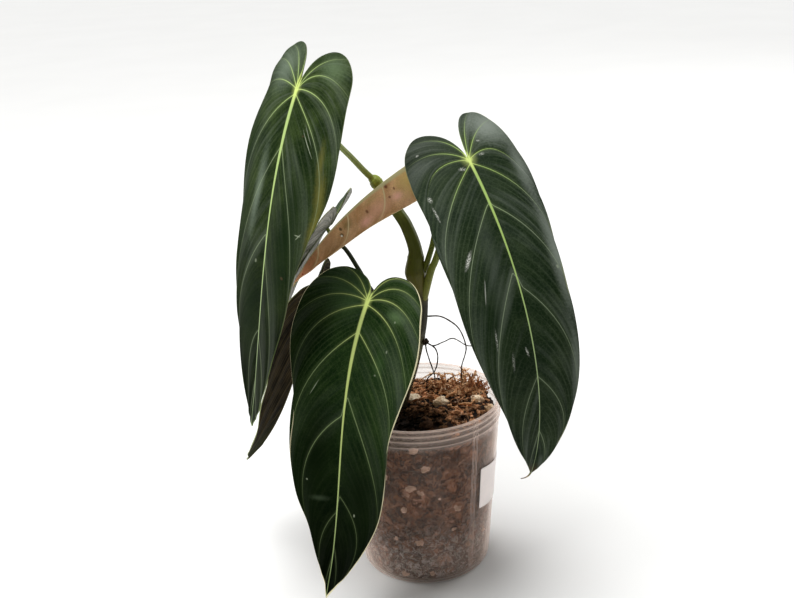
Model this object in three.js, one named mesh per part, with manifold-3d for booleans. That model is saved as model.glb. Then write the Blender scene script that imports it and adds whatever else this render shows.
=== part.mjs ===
// Potted velvet-leaved philodendron: a clear nursery pot of bark mix, one climbing stem with aerial
// roots, and six long heart-shaped leaves on their stalks.
// Millimetres, +Z up, front toward -Y, middle of the pot's underside at the origin.

import * as THREE from 'three';
import { mergeVertices } from 'three/addons/utils/BufferGeometryUtils.js';
import Module from 'manifold-3d';

// Clear pot
const POT_HEIGHT = 131.3;
const POT_BASE_RADIUS = 48;
const POT_WALL_TOP_RADIUS = 58.6;
const POT_LIP_RADIUS = 60.2;
const POT_WALL = 1.2;
const POT_FLOOR = 1.6;
const POT_SIDES = 40;
const BAND_BOTTOM = 117.2;
const BAND_RIDGES = 3;
const BAND_PITCH = 4.4;
const BAND_RIDGE_HEIGHT = 0.9;
const DRAIN_HOLES = 6;
const DRAIN_HOLE_RADIUS = 4;
const DRAIN_CIRCLE_RADIUS = 26;

// Bare sticker on the pot: angles are turned from the front toward the right
const LABEL_START = 47;
const LABEL_END = 90;
const LABEL_BOTTOM = 54.5;
const LABEL_HEIGHT = 34;
const LABEL_FALL = 6;
const LABEL_THICKNESS = 0.6;

// Clearance left where two pieces meet
const GAP = 0.3;

// Bark mix
const SOIL_LEVEL = 118.5;
const SOIL_SIDES = 24;
const SOIL_ROUGHNESS = 2.2;
const BARK_CHIPS = 18;

// Pumice lumps lying in the bark: middle and half lengths
const PUMICE = [
  { name: 'pumice_left', at: [-5, 14, 121], size: [6, 4.5, 4] },
  { name: 'pumice_middle', at: [16, 6, 121], size: [6.5, 5, 4.5] },
  { name: 'pumice_right', at: [43, 9, 120.5], size: [5.5, 4.5, 3.6] },
  { name: 'pumice_edge', at: [51, -4, 119.5], size: [3.4, 4, 3] },
  { name: 'pumice_front', at: [4, -27, 119.5], size: [5, 4, 3.4] },
  { name: 'pumice_back', at: [-27, 32, 119.5], size: [5, 4.2, 3.4] },
];

// Dry moss tuft at the back right
const MOSS_AT = [35, 25, 119];
const MOSS_SIZE = [15, 9, 6];
const MOSS_STRANDS = 13;

// Stem with the points it passes and its radius at each
const STEM_PATH = [
  [-16, 8, 98], [-13, 8, 122], [-4, 7, 152], [2.3, 5, 178], [4.6, 5, 195], [4.2, 5, 211], [1.7, 5, 225],
  [2.5, 5.5, 241], [-2.4, 9, 257.5], [-8, 14, 267], [-16.5, 21, 279], [-23, 25, 288], [-25.6, 25.4, 290.6],
];
const STEM_SIDES = 12;
const STEM_RADII = [4, 4.4, 4.6, 4.6, 4.9, 5.7, 7.5, 4.9, 4.4, 4.3, 4.2, 4.5, 2.8];

// Leaf stalks: points from the stem outward, the radius at both ends, sides of the tube
const STALKS = {
  left: {
    path: [[-24.4, 25, 289.4], [-30.6, 23.5, 296.5], [-38.5, 18, 307.5], [-48, 9, 321], [-59.5, -3, 341]],
    radii: [2.3, 1.7],
  },
  right: {
    path: [
      [4.6, 4.5, 200], [7.6, 2.5, 210], [10.4, 0.5, 220], [13.4, -1, 229.5], [17, -3, 238], [29, -13, 275],
    ],
    radii: [3.6, 2.8, 2.3, 1.9],
  },
  front: { path: [[-1, 6, 158], [-9, -6, 176], [-19, -22, 194], [-27, -40, 210]], radii: [2.4, 1.8] },
  grey: {
    path: [[0, 8, 165], [-14, 18, 185], [-31, 27, 206], [-39.7, 33, 221], [-48, 38, 234.5]],
    radii: [2, 1.4],
  },
  dark: { path: [[-4.5, 8, 148], [-22, 15, 160], [-43, 22, 174], [-60, 26, 185]], radii: [2.1, 1.5] },
  pink: {
    path: [
      [4.6, 5.5, 219], [8.6, 4, 228], [11.3, 3, 235.5], [15.3, 2.4, 248.5], [18.5, 2, 268], [15.5, 2, 288],
    ],
    radii: [2.3, 1.6],
  },
};
const STALK_SIDES = 8;

// Aerial roots: a dry knot on the stem and four thin roots, two of them grown together where they cross
const ROOT_KNOT_AT = [6.6, 1.5, 172.6];
const ROOT_KNOT_RADIUS = 2.6;
const ROOT_CROSSING = [36, 6, 166.5];
const ROOTS = [
  {
    path: [
      [8.4, 4, 191.5], [17.5, 4, 191], [25.5, 4, 186.5], [32, 5, 179], ROOT_CROSSING,
      [35.5, 9, 158], [32.6, 13, 145], [33.6, 18, 126], [34.5, 20, 108],
    ],
    radius: 0.75,
  },
  {
    path: [
      ROOT_KNOT_AT, [12, 0, 170], [19.5, 1, 172], [27, 3, 173.5], ROOT_CROSSING,
      [42, 11, 163], [49, 16, 157],
    ],
    radius: 0.62,
  },
  {
    path: [ROOT_KNOT_AT, [7, 5, 165], [9.5, 13, 152], [12.5, 22, 138], [13.3, 27, 127], [13.8, 28, 110]],
    radius: 0.72,
  },
  {
    path: [
      ROOT_KNOT_AT, [13.4, 3, 166.5], [15.2, 8, 156], [12.7, 15, 143],
      [7.6, 21, 135], [6.6, 24, 126], [7, 25, 110],
    ],
    radius: 0.72,
  },
];
const ROOT_SIDES = 5;

// Flat leaf template. Lobe points: share of the half width, share of the lobe's length behind the notch.
// Side points: share of the half width at each share of the leaf's length.
const LOBE_OUTLINE = [[0, 0], [0.1, 0.42], [0.3, 0.92], [0.58, 0.98], [0.83, 0.55]];
const SIDE_STATIONS = [0.02, 0.14, 0.28, 0.42, 0.56, 0.69, 0.8, 0.89, 0.95, 1];
const PLAIN_SIDE = [0.97, 1, 0.93, 0.84, 0.74, 0.6, 0.42, 0.22, 0.075, 0];
const NEW_LEAF_SIDE = [1.12, 1.16, 1.05, 0.91, 0.78, 0.61, 0.42, 0.22, 0.075, 0];

// Main veins of one half. Three lobe veins and a fourth leave the notch, and three laterals leave the
// midrib at these shares of the length. Each vein ends where so many outline points are passed and
// starts at an angle counted from the lobe's side.
const FOURTH_VEIN = 0.012;
const VEIN_BULGE = 0.65;
const PLAIN_VEINS = {
  laterals: [0.13, 0.38, 0.69],
  ends: [3.1, 4.2, 5.7, 7.2, 9, 10.9, 12.6],
  angles: [22, 45, 73, 117, 136, 141, 135],
};
const NEW_LEAF_VEINS = {
  laterals: [0.24, 0.48, 0.72],
  ends: [2.9, 3.8, 4.8, 5.8, 7.8, 10, 12.2],
  angles: [20, 45, 70, 88, 105, 118, 128],
};
const ROWS_PER_VEIN = 3;
const COLUMNS = [0, 0.04, 0.27, 0.52, 0.77, 1];

// Blade thickness, the puff between the veins, the raised midrib and the wave of the margin
const BLADE_THICKNESS = 0.8;
const VEIN_PUFF = 0.8;
const MIDRIB_HEIGHT = 0.7;
const MARGIN_WAVE = 0.8;
const MARGIN_WAVES = 2.5;

// The six leaves. Angles in degrees: heading turns from the front (0) toward the right, droop is the
// midrib's slope at the notch, sag and sway are its bend down and sideways over the leaf's length,
// roll and twist turn the blade about its midrib, lobeLift bends the lobes. For each half: width,
// length of the lobe, rise from the midrib at both ends (fold), how far it curves down (arch).
const LEAVES = {
  left: {
    notch: [-69.1, -20, 362.7], length: 231, heading: -54.7, droop: 63.3, sag: [43.8, -29.8],
    sway: [1.7, -2.2], roll: -4.2, twist: 2.1, lobeLift: 145.6,
    halves: [
      {
        side: -1, width: 50.8, lobe: 33.7, fold: [4.9, 9.3], arch: [18.1, 17.9], lobeArch: -9.2,
        outline: [0.94, 1.02, 0.97, 0.81, 0.73, 0.59, 0.41, 0.23, 0.09, 0],
        veins: {
          laterals: [0.16, 0.41, 0.7],
          ends: [3.2, 3.9, 4.8, 7.7, 9.4, 10.4, 13],
          angles: [24, 46, 71, 119, 144, 135, 110],
        },
      },
      {
        side: 1, width: 52.3, lobe: 29.6, fold: [4, 8.7], arch: [41.3, 17.9], lobeArch: 16.5,
        outline: [0.94, 1.01, 1.01, 0.83, 0.65, 0.54, 0.42, 0.28, 0.16, 0],
        veins: {
          laterals: [0.16, 0.48, 0.72],
          ends: [3.2, 4.7, 6.3, 8.2, 9.5, 11.6, 12.8],
          angles: [31, 44, 84, 119, 146, 156, 150],
        },
      },
    ],
  },
  right: {
    notch: [39.8, -30, 312], length: 226.3, heading: 22.9, droop: 36.9, sag: [40, 37.2], sway: [-0.7, 8.5],
    roll: -17.9, twist: -9.1, lobeLift: 136.3,
    halves: [
      {
        side: -1, width: 46.7, lobe: 39.6, fold: [7, 9.9], arch: [30.8, 19.9], lobeArch: -1.1,
        outline: [0.91, 0.89, 0.87, 0.86, 0.8, 0.64, 0.44, 0.28, 0.12, 0],
        veins: {
          laterals: [0.15, 0.36, 0.67],
          ends: [3.2, 4.2, 6.7, 7.9, 9.8, 11.3, 12.9],
          angles: [10, 39, 70, 132, 141, 148, 138],
        },
      },
      {
        side: 1, width: 37.8, lobe: 42.2, fold: [6.2, 12.7], arch: [48.4, 20.5], lobeArch: -15.7,
        outline: [0.97, 0.96, 0.85, 0.77, 0.76, 0.68, 0.48, 0.28, 0.15, 0],
        veins: {
          laterals: [0.16, 0.41, 0.67],
          ends: [2.85, 3.75, 6.3, 7.4, 8.5, 10.7, 12.2],
          angles: [13, 28, 60, 132, 139, 140, 134],
        },
      },
    ],
  },
  front: {
    notch: [-31, -60, 228.7], length: 208, heading: -46.3, droop: 57, sag: [78.7, -67.5], sway: [2.8, -1.2],
    roll: -5, twist: 12.5, lobeLift: 74.6,
    halves: [
      {
        side: -1, width: 55, lobe: 18.2, fold: [6.8, 8.6], arch: [-8.2, 13.3], lobeArch: -1.2,
        outline: [0.99, 1.03, 0.92, 0.79, 0.78, 0.64, 0.38, 0.2, 0.06, 0],
        veins: {
          laterals: [0.1, 0.37, 0.7],
          ends: [3.1, 4.5, 5.8, 7.3, 9.4, 10.7, 12.2],
          angles: [40, 62, 82, 105, 130, 128, 135],
        },
      },
      {
        side: 1, width: 55.2, lobe: 19.3, fold: [12.3, 5.1], arch: [28.3, 15.5], lobeArch: 6.8,
        outline: [0.97, 1.03, 0.9, 0.77, 0.74, 0.65, 0.48, 0.28, 0.12, 0],
        veins: {
          laterals: [0.1, 0.3, 0.64],
          ends: [3.4, 4.5, 5.5, 6.7, 8.1, 10.1, 12.4],
          angles: [20, 48, 73, 95, 114, 137, 118],
        },
      },
    ],
  },
  grey: {
    notch: [-58.9, 45, 252.3], length: 168.8, heading: -117.2, droop: 45.4, sag: [34.4, 0], sway: [-1.2, 0],
    roll: 7.2, twist: -2.5, lobeLift: -56.9,
    halves: [
      {
        side: -1, width: 50.1, lobe: 22.7, fold: [24.8, 8], arch: [38.8, 15], lobeArch: 0,
        outline: PLAIN_SIDE, veins: PLAIN_VEINS,
      },
      {
        side: 1, width: 50.1, lobe: 22.7, fold: [16.3, 8], arch: [35.1, 15], lobeArch: 0,
        outline: PLAIN_SIDE, veins: PLAIN_VEINS,
      },
    ],
  },
  dark: {
    notch: [-72.3, 30, 199.3], length: 170.9, heading: -113.7, droop: 67.9, sag: [19.6, -48],
    sway: [3.2, -14.8], roll: 8.5, twist: 0.6, lobeLift: 44.5,
    halves: [
      {
        side: -1, width: 57.5, lobe: 18.2, fold: [25.9, 5.7], arch: [39.5, -35.8], lobeArch: 0,
        outline: PLAIN_SIDE, veins: PLAIN_VEINS,
      },
      {
        side: 1, width: 57.5, lobe: 18.2, fold: [19.1, 5.5], arch: [16.1, 14.7], lobeArch: 0,
        outline: PLAIN_SIDE, veins: PLAIN_VEINS,
      },
    ],
  },
  pink: {
    notch: [8.1, 2, 308.2], length: 131.5, heading: -87.5, droop: 29.9, sag: [18.7, 12.4], sway: [-6.7, -4.6],
    roll: -3.3, twist: -2.9, lobeLift: 60,
    halves: [
      {
        side: -1, width: 20.3, lobe: 20, fold: [-68, -62], arch: [14, 8], lobeArch: 0,
        outline: NEW_LEAF_SIDE, veins: NEW_LEAF_VEINS,
      },
      {
        side: 1, width: 20.3, lobe: 20, fold: [-68.5, -61.1], arch: [15.1, 7], lobeArch: 0,
        outline: NEW_LEAF_SIDE, veins: NEW_LEAF_VEINS,
      },
    ],
  },
};

// Finishes
const FINISHES = {
  pot: { color: '#b9b0a6', roughness: 0.25, opacity: 0.35 },
  label: { color: '#f4f4f2', roughness: 0.6 },
  bark: { color: '#5a3b28', roughness: 0.95 },
  pumice: { color: '#cbb9a2', roughness: 0.95 },
  moss: { color: '#94532b', roughness: 0.95 },
  root: { color: '#2c2522', roughness: 0.85 },
  stem: { color: '#4c4a1c', roughness: 0.55 },
  stalkLight: { color: '#7d9440', roughness: 0.5 },
  stalkDark: { color: '#23321c', roughness: 0.55 },
  velvet: { color: '#1c3521', roughness: 0.55 },
  greyBack: { color: '#6f7468', roughness: 0.6 },
  darkBack: { color: '#2f211b', roughness: 0.6 },
  pink: { color: '#b07d63', roughness: 0.6 },
};
const STALK_FINISH = {
  left: 'stalkLight',
  right: 'stem',
  front: 'stalkDark',
  grey: 'stalkDark',
  dark: 'stalkDark',
  pink: 'stalkLight',
};
const BLADE_FINISH = {
  left: 'velvet', right: 'velvet', front: 'velvet', grey: 'greyBack', dark: 'darkBack', pink: 'pink',
};

const wasm = await Module();
wasm.setup();

const radians = THREE.MathUtils.degToRad;
const vector = (values) => new THREE.Vector3(...values);

// Steady pseudo-random number from 0 to 1 for the item with this number
function scatter(number) {
  const wave = Math.sin(number * 12.9898) * 43758.5453;
  return wave - Math.floor(wave);
}

// Straight interpolation in a list, by a fractional position
function between(list, position) {
  const index = Math.min(Math.floor(position), list.length - 2);
  return THREE.MathUtils.lerp(list[index], list[index + 1], position - index);
}

// Smooth curve through points of any number of coordinates, by a fractional position
function smoothAt(points, position) {
  const last = points.length - 1;
  const index = Math.min(Math.max(Math.floor(position), 0), last - 1);
  const t = position - index;
  const mirrored = (inner, outer) => inner.map((value, k) => 2 * value - outer[k]);
  const before = index > 0 ? points[index - 1] : mirrored(points[0], points[1]);
  const after = index < last - 1 ? points[index + 2] : mirrored(points[last], points[last - 1]);
  const here = points[index];
  const next = points[index + 1];
  return here.map((value, k) => {
    const linear = next[k] - before[k];
    const square = 2 * before[k] - 5 * value + 4 * next[k] - after[k];
    const cube = 3 * value - before[k] - 3 * next[k] + after[k];
    return 0.5 * (2 * value + linear * t + square * t * t + cube * t * t * t);
  });
}

// Geometry from points and triangles; corners that coincide become one
function geometryOf(points, triangles) {
  const geometry = new THREE.BufferGeometry();
  const positions = points.flatMap((point) => point.toArray());
  geometry.setAttribute('position', new THREE.Float32BufferAttribute(positions, 3));
  geometry.setIndex(triangles.flat());
  return geometry;
}

// Solid from a closed geometry; triangles that have shrunk to a line are left out
function solidOf(geometry) {
  geometry.deleteAttribute('normal');
  geometry.deleteAttribute('uv');
  const merged = mergeVertices(geometry, 1e-4);
  const index = merged.getIndex().array;
  const kept = [];
  for (let i = 0; i < index.length; i += 3) {
    const [a, b, c] = index.slice(i, i + 3);
    if (a !== b && b !== c && c !== a) {
      kept.push(a, b, c);
    }
  }
  return new wasm.Manifold(new wasm.Mesh({
    numProp: 3,
    vertProperties: Float32Array.from(merged.getAttribute('position').array),
    triVerts: Uint32Array.from(kept),
  }));
}

// Largest connected body of a solid
function mainBody(solid) {
  return solid.decompose().reduce((best, body) => (body.volume() > best.volume() ? body : best));
}

function meshOf(name, solid, finishName) {
  const { vertProperties, triVerts, numProp } = mainBody(solid).getMesh();
  const positions = [];
  for (let i = 0; i < vertProperties.length; i += numProp) {
    positions.push(vertProperties[i], vertProperties[i + 1], vertProperties[i + 2]);
  }
  const geometry = new THREE.BufferGeometry();
  geometry.setAttribute('position', new THREE.Float32BufferAttribute(positions, 3));
  geometry.setIndex([...triVerts]);
  geometry.computeVertexNormals();
  const finish = FINISHES[finishName];
  const { color, roughness } = finish;
  const material = new THREE.MeshStandardMaterial({ color, roughness, metalness: 0 });
  if (finish.opacity) {
    material.transparent = true;
    material.opacity = finish.opacity;
  }
  const mesh = new THREE.Mesh(geometry, material);
  mesh.name = name;
  return mesh;
}

// Closed solid from a stack of rings with equal numbers of points, closed by a point at both ends
function stack(firstPoint, rings, lastPoint) {
  const sides = rings[0].length;
  const points = [firstPoint, ...rings.flat(), lastPoint];
  const lastIndex = points.length - 1;
  const triangles = [];
  for (let i = 0; i < sides; i += 1) {
    const j = (i + 1) % sides;
    triangles.push([0, 1 + j, 1 + i]);
    for (let ring = 0; ring < rings.length - 1; ring += 1) {
      const low = 1 + ring * sides;
      const high = low + sides;
      triangles.push([low + i, low + j, high + j], [low + i, high + j, high + i]);
    }
    const top = 1 + (rings.length - 1) * sides;
    triangles.push([lastIndex, top + i, top + j]);
  }
  return solidOf(geometryOf(points, triangles));
}

// Turned solid from a profile of [radius, height] points that starts and ends on the axis
function turned(profile, sides) {
  const ring = ([radius, height]) => Array.from({ length: sides }, (_, i) => {
    const angle = (i / sides) * 2 * Math.PI;
    return vector([radius * Math.cos(angle), radius * Math.sin(angle), height]);
  });
  const first = profile[0];
  const last = profile[profile.length - 1];
  return stack(vector([0, 0, first[1]]), profile.slice(1, -1).map(ring), vector([0, 0, last[1]]));
}

// Round rod along a smooth path. Radii are spread evenly along it; swell widens and lengthens it.
function rod(path, radii, sides, swell = 0) {
  const steps = 2 * (path.length - 1);
  const centres = [];
  for (let i = 0; i <= steps; i += 1) {
    centres.push(vector(smoothAt(path, i / 2)));
  }
  const tangentAt = (i) => {
    const ahead = centres[Math.min(i + 1, steps)];
    return ahead.clone().sub(centres[Math.max(i - 1, 0)]).normalize();
  };
  const startTangent = tangentAt(0);
  const endTangent = tangentAt(steps);
  let side = new THREE.Vector3(0.3, 1, 0.1).cross(startTangent).normalize();
  const rings = centres.map((centre, i) => {
    const tangent = tangentAt(i);
    side = side.clone().addScaledVector(tangent, -side.dot(tangent)).normalize();
    const other = tangent.clone().cross(side);
    const radius = between(radii, (i / steps) * (radii.length - 1)) + swell;
    return Array.from({ length: sides }, (_, k) => {
      const angle = (k / sides) * 2 * Math.PI;
      const onSide = centre.clone().addScaledVector(side, radius * Math.cos(angle));
      return onSide.addScaledVector(other, radius * Math.sin(angle));
    });
  });
  const bulge = 0.5;
  const start = centres[0].clone().addScaledVector(startTangent, -(bulge * radii[0] + swell));
  const end = centres[steps].clone().addScaledVector(endTangent, bulge * radii[radii.length - 1] + swell);
  return stack(start, rings, end);
}

// Lump with an uneven surface; swell widens it all round
function lump(at, size, seed, swell = 0) {
  const ball = new THREE.IcosahedronGeometry(1, 1).deleteAttribute('normal').deleteAttribute('uv');
  const geometry = mergeVertices(ball);
  const position = geometry.getAttribute('position');
  for (let i = 0; i < position.count; i += 1) {
    const uneven = 0.82 + 0.36 * scatter(seed * 50 + i);
    const point = new THREE.Vector3().fromBufferAttribute(position, i);
    point.set(
      at[0] + point.x * (size[0] * uneven + swell),
      at[1] + point.y * (size[1] * uneven + swell),
      at[2] + point.z * (size[2] * uneven + swell),
    );
    position.setXYZ(i, point.x, point.y, point.z);
  }
  return solidOf(geometry);
}

// Closed sheet from two matching grids of points: the upper face and the lower face
function sheet(upper, lower) {
  const rows = upper.length;
  const columns = upper[0].length;
  const points = [...upper.flat(), ...lower.flat()];
  const top = (i, j) => i * columns + j;
  const bottom = (i, j) => rows * columns + i * columns + j;
  const triangles = [];
  for (let i = 0; i < rows - 1; i += 1) {
    for (let j = 0; j < columns - 1; j += 1) {
      const corners = [[i, j], [i + 1, j], [i + 1, j + 1], [i, j + 1]];
      const cuts = j < (columns - 1) / 2 ? [[0, 1, 2], [0, 2, 3]] : [[0, 1, 3], [1, 2, 3]];
      for (const [a, b, c] of cuts) {
        triangles.push([top(...corners[a]), top(...corners[b]), top(...corners[c])]);
        triangles.push([bottom(...corners[c]), bottom(...corners[b]), bottom(...corners[a])]);
      }
    }
  }
  const wall = (from, to) => {
    triangles.push([top(...from), bottom(...from), bottom(...to)], [top(...from), bottom(...to), top(...to)]);
  };
  for (let i = 0; i < rows - 1; i += 1) {
    wall([i, 0], [i + 1, 0]);
    wall([i + 1, columns - 1], [i, columns - 1]);
  }
  for (let j = 0; j < columns - 1; j += 1) {
    wall([0, j + 1], [0, j]);
    wall([rows - 1, j], [rows - 1, j + 1]);
  }
  return solidOf(geometryOf(points, triangles));
}

// Midrib of a leaf: gives its centre and its three directions at a distance from the notch
function midribOf(leaf) {
  const frameAt = (distance) => {
    const share = distance / leaf.length;
    const ahead = Math.max(share, 0);
    const lift = leaf.lobeLift * Math.min(share, 0);
    const droop = radians(leaf.droop + leaf.sag[0] * ahead + leaf.sag[1] * ahead ** 2 + lift);
    const heading = radians(leaf.heading + leaf.sway[0] * ahead + leaf.sway[1] * ahead ** 2);
    const roll = radians(leaf.roll + leaf.twist * ahead);
    const outward = new THREE.Vector3(Math.sin(heading), -Math.cos(heading), 0);
    const along = outward.clone().multiplyScalar(Math.cos(droop)).setZ(-Math.sin(droop));
    const plainUp = outward.clone().multiplyScalar(Math.sin(droop)).setZ(Math.cos(droop));
    const plainAcross = plainUp.clone().cross(along);
    const up = plainUp.clone().multiplyScalar(Math.cos(roll)).addScaledVector(plainAcross, Math.sin(roll));
    const across = plainAcross.multiplyScalar(Math.cos(roll)).addScaledVector(plainUp, -Math.sin(roll));
    return { along, up, across };
  };
  const step = leaf.length / 200;
  const behind = 70;
  const centres = [vector([0, 0, 0])];
  for (let i = 0; i < 200 + behind; i += 1) {
    const middle = (i + 0.5 - behind) * step;
    centres.push(centres[i].clone().addScaledVector(frameAt(middle).along, step));
  }
  const shift = vector(leaf.notch).sub(centres[behind]);
  return (distance) => {
    const position = Math.min(Math.max(distance / step + behind, 0), centres.length - 1.001);
    const index = Math.floor(position);
    const centre = centres[index].clone().lerp(centres[index + 1], position - index).add(shift);
    return { centre, ...frameAt(distance) };
  };
}

// Flat outline of one half, as points from the notch round the lobe and along the side to the tip
function outlineOf(leaf, half) {
  const lobe = LOBE_OUTLINE.map(([across, back]) => [across * half.width, -back * half.lobe]);
  const side = SIDE_STATIONS.map((share, i) => [half.outline[i] * half.width, share * leaf.length]);
  return [...lobe, ...side];
}

// Rows of one half: the notch's edge, the main veins, a row between the last vein and the tip, and the tip
function rowsOf(half) {
  const { laterals, ends, angles } = half.veins;
  const lastEnd = LOBE_OUTLINE.length + SIDE_STATIONS.length - 1;
  return {
    origins: [0, 0, 0, 0, FOURTH_VEIN, ...laterals, (laterals[2] + 1) / 2, 1],
    ends: [2, ...ends, (ends[6] + lastEnd) / 2, lastEnd],
    angles: [4, ...angles, (angles[6] + 150) / 2, 150],
  };
}

// Flat point of one half: row counts veins from the notch to the tip, share runs from midrib to margin
function flatPoint(leaf, half, outline, row, share) {
  const rows = rowsOf(half);
  const origin = between(rows.origins, row) * leaf.length;
  const [endX, endY] = smoothAt(outline, between(rows.ends, row));
  const angle = radians(between(rows.angles, row));
  const reach = VEIN_BULGE * Math.hypot(endX, endY - origin);
  const bendX = reach * Math.sin(angle) * Math.min(1, endX / (0.2 * half.width));
  const bendY = origin - reach * Math.cos(angle);
  const rest = 1 - share;
  return {
    x: 2 * rest * share * bendX + share * share * endX,
    y: rest * rest * origin + 2 * rest * share * bendY + share * share * endY,
  };
}

// Bent position and surface direction of a flat point
function bentPoint(leaf, half, midrib, flat) {
  const { centre, along, up, across } = midrib(flat.y);
  const ahead = Math.min(Math.max(flat.y / leaf.length, 0), 1);
  const lobeShare = Math.min(Math.max(-flat.y / leaf.length / 0.12, 0), 1.5);
  const fold = radians(THREE.MathUtils.lerp(half.fold[0], half.fold[1], ahead));
  let arch = radians(THREE.MathUtils.lerp(half.arch[0], half.arch[1], ahead) + half.lobeArch * lobeShare);
  if (Math.abs(arch) < 1e-4) {
    arch = 1e-4;
  }
  const slope = fold - arch * (flat.x / half.width);
  const reach = (half.width / arch) * (Math.sin(fold) - Math.sin(slope));
  const rise = (half.width / arch) * (Math.cos(slope) - Math.cos(fold));
  const point = centre.clone().addScaledVector(across, half.side * reach).addScaledVector(up, rise);
  const facing = flat.x < 1e-6 ? 0 : slope;
  const normal = up.clone().multiplyScalar(Math.cos(facing));
  normal.addScaledVector(across, -half.side * Math.sin(facing));
  return { point, normal, along };
}

// Blade of a leaf as a closed sheet; swell thickens it for cutting clearances
function blade(leaf, swell = 0) {
  const midrib = midribOf(leaf);
  const veins = rowsOf(leaf.halves[0]).ends.length - 1;
  const rows = veins * ROWS_PER_VEIN;
  const columns = COLUMNS.length - 1;
  const upper = [];
  const lower = [];
  for (let i = 0; i <= rows; i += 1) {
    const row = i / ROWS_PER_VEIN;
    const upperRow = [];
    const lowerRow = [];
    for (let j = -columns; j <= columns; j += 1) {
      const half = leaf.halves[j < 0 ? 0 : 1];
      const share = COLUMNS[Math.abs(j)];
      const flat = flatPoint(leaf, half, outlineOf(leaf, half), row, share);
      const { point, normal } = bentPoint(leaf, half, midrib, flat);
      const ahead = Math.min(Math.max(flat.y / leaf.length, 0), 1);
      const fade = Math.sin(Math.PI * Math.min(row / veins, 1)) ** 0.5;
      const puff = VEIN_PUFF * Math.sin(Math.PI * row) ** 2 * (share < 1 ? Math.min(1, share / 0.25) : 0.4);
      const wave = MARGIN_WAVE * share ** 3 * Math.sin(MARGIN_WAVES * 2 * Math.PI * ahead + half.side);
      const rib = share === 0 ? MIDRIB_HEIGHT * (1.15 - ahead) : 0;
      const middle = point.clone().addScaledVector(normal, (puff + wave) * fade);
      const halfThickness = BLADE_THICKNESS / 2 + swell;
      upperRow.push(middle.clone().addScaledVector(normal, halfThickness + 0.6 * rib));
      lowerRow.push(middle.clone().addScaledVector(normal, -halfThickness - rib));
    }
    upper.push(upperRow);
    lower.push(lowerRow);
  }
  return sheet(upper, lower);
}

// Stalk from the stem to just under the blade, where it meets the midrib a little ahead of the notch
function stalkPath(name) {
  const midrib = midribOf(LEAVES[name]);
  const { centre, along, up } = midrib(4);
  const under = centre.clone().addScaledVector(up, -9).addScaledVector(along, 3);
  return [...STALKS[name].path, under.toArray(), centre.toArray()];
}

function buildPot() {
  const outer = [
    [0, 0], [POT_BASE_RADIUS - 4.5, 0], [POT_BASE_RADIUS - 1.6, 0.9], [POT_BASE_RADIUS - 0.3, 3],
    [POT_BASE_RADIUS + 0.3, 6], [POT_WALL_TOP_RADIUS, BAND_BOTTOM],
  ];
  for (let ridge = 0; ridge < BAND_RIDGES; ridge += 1) {
    const height = BAND_BOTTOM + ridge * BAND_PITCH;
    const radius = POT_WALL_TOP_RADIUS + 0.15 * ridge;
    outer.push([radius + BAND_RIDGE_HEIGHT, height + 1.2], [radius + 0.15, height + 2.4]);
    outer.push([radius + 0.15, height + BAND_PITCH]);
  }
  outer.push([POT_LIP_RADIUS, POT_HEIGHT - 0.6], [POT_LIP_RADIUS - 0.2, POT_HEIGHT]);
  const inner = [
    [POT_WALL_TOP_RADIUS - 0.4, POT_HEIGHT], [POT_WALL_TOP_RADIUS - POT_WALL, POT_HEIGHT - 1.2],
    [POT_WALL_TOP_RADIUS - POT_WALL, BAND_BOTTOM], [POT_BASE_RADIUS + 0.3 - POT_WALL, 6],
    [POT_BASE_RADIUS - 0.9 - POT_WALL, 3.2], [POT_BASE_RADIUS - 5, POT_FLOOR], [0, POT_FLOOR],
  ];
  let pot = turned([...outer, ...inner], POT_SIDES);
  for (let i = 0; i < DRAIN_HOLES; i += 1) {
    const angle = ((i + 0.5) / DRAIN_HOLES) * 2 * Math.PI;
    const x = DRAIN_CIRCLE_RADIUS * Math.cos(angle);
    const y = DRAIN_CIRCLE_RADIUS * Math.sin(angle);
    const profile = [[0, -2], [DRAIN_HOLE_RADIUS, -2], [DRAIN_HOLE_RADIUS, 2 * POT_FLOOR], [0, 2 * POT_FLOOR]];
    pot = pot.subtract(turned(profile, 16).translate([x, y, 0]));
  }
  return pot;
}

// Height of the bark's surface: low at the front, mounded toward the back right
function soilHeight(x, y) {
  const mound = 3.5 * Math.exp(-((x - 24) ** 2 + (y - 22) ** 2) / 900);
  const hollow = 2.5 * Math.exp(-((x + 20) ** 2 + (y + 34) ** 2) / 700);
  const rough = Math.sin(0.41 * x + 1.3) * Math.cos(0.37 * y) + 0.7 * Math.sin(0.83 * y - 0.29 * x);
  return SOIL_LEVEL + mound - hollow + (SOIL_ROUGHNESS / 2) * rough;
}

// Outer radius of the pot's plain wall
function wallAt(height) {
  const share = (height - 6) / (BAND_BOTTOM - 6);
  return THREE.MathUtils.lerp(POT_BASE_RADIUS + 0.3, POT_WALL_TOP_RADIUS, share);
}

// Radius left clear inside the pot's wall
function roomAt(height) {
  return wallAt(height) - POT_WALL - GAP - 0.15;
}

// Upright column that stays clear of the pot's wall
function roomInPot() {
  const radius = roomAt(BAND_BOTTOM) - 0.3;
  return turned([[0, -1], [radius, -1], [radius, 2 * POT_HEIGHT], [0, 2 * POT_HEIGHT]], SOIL_SIDES);
}

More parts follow.
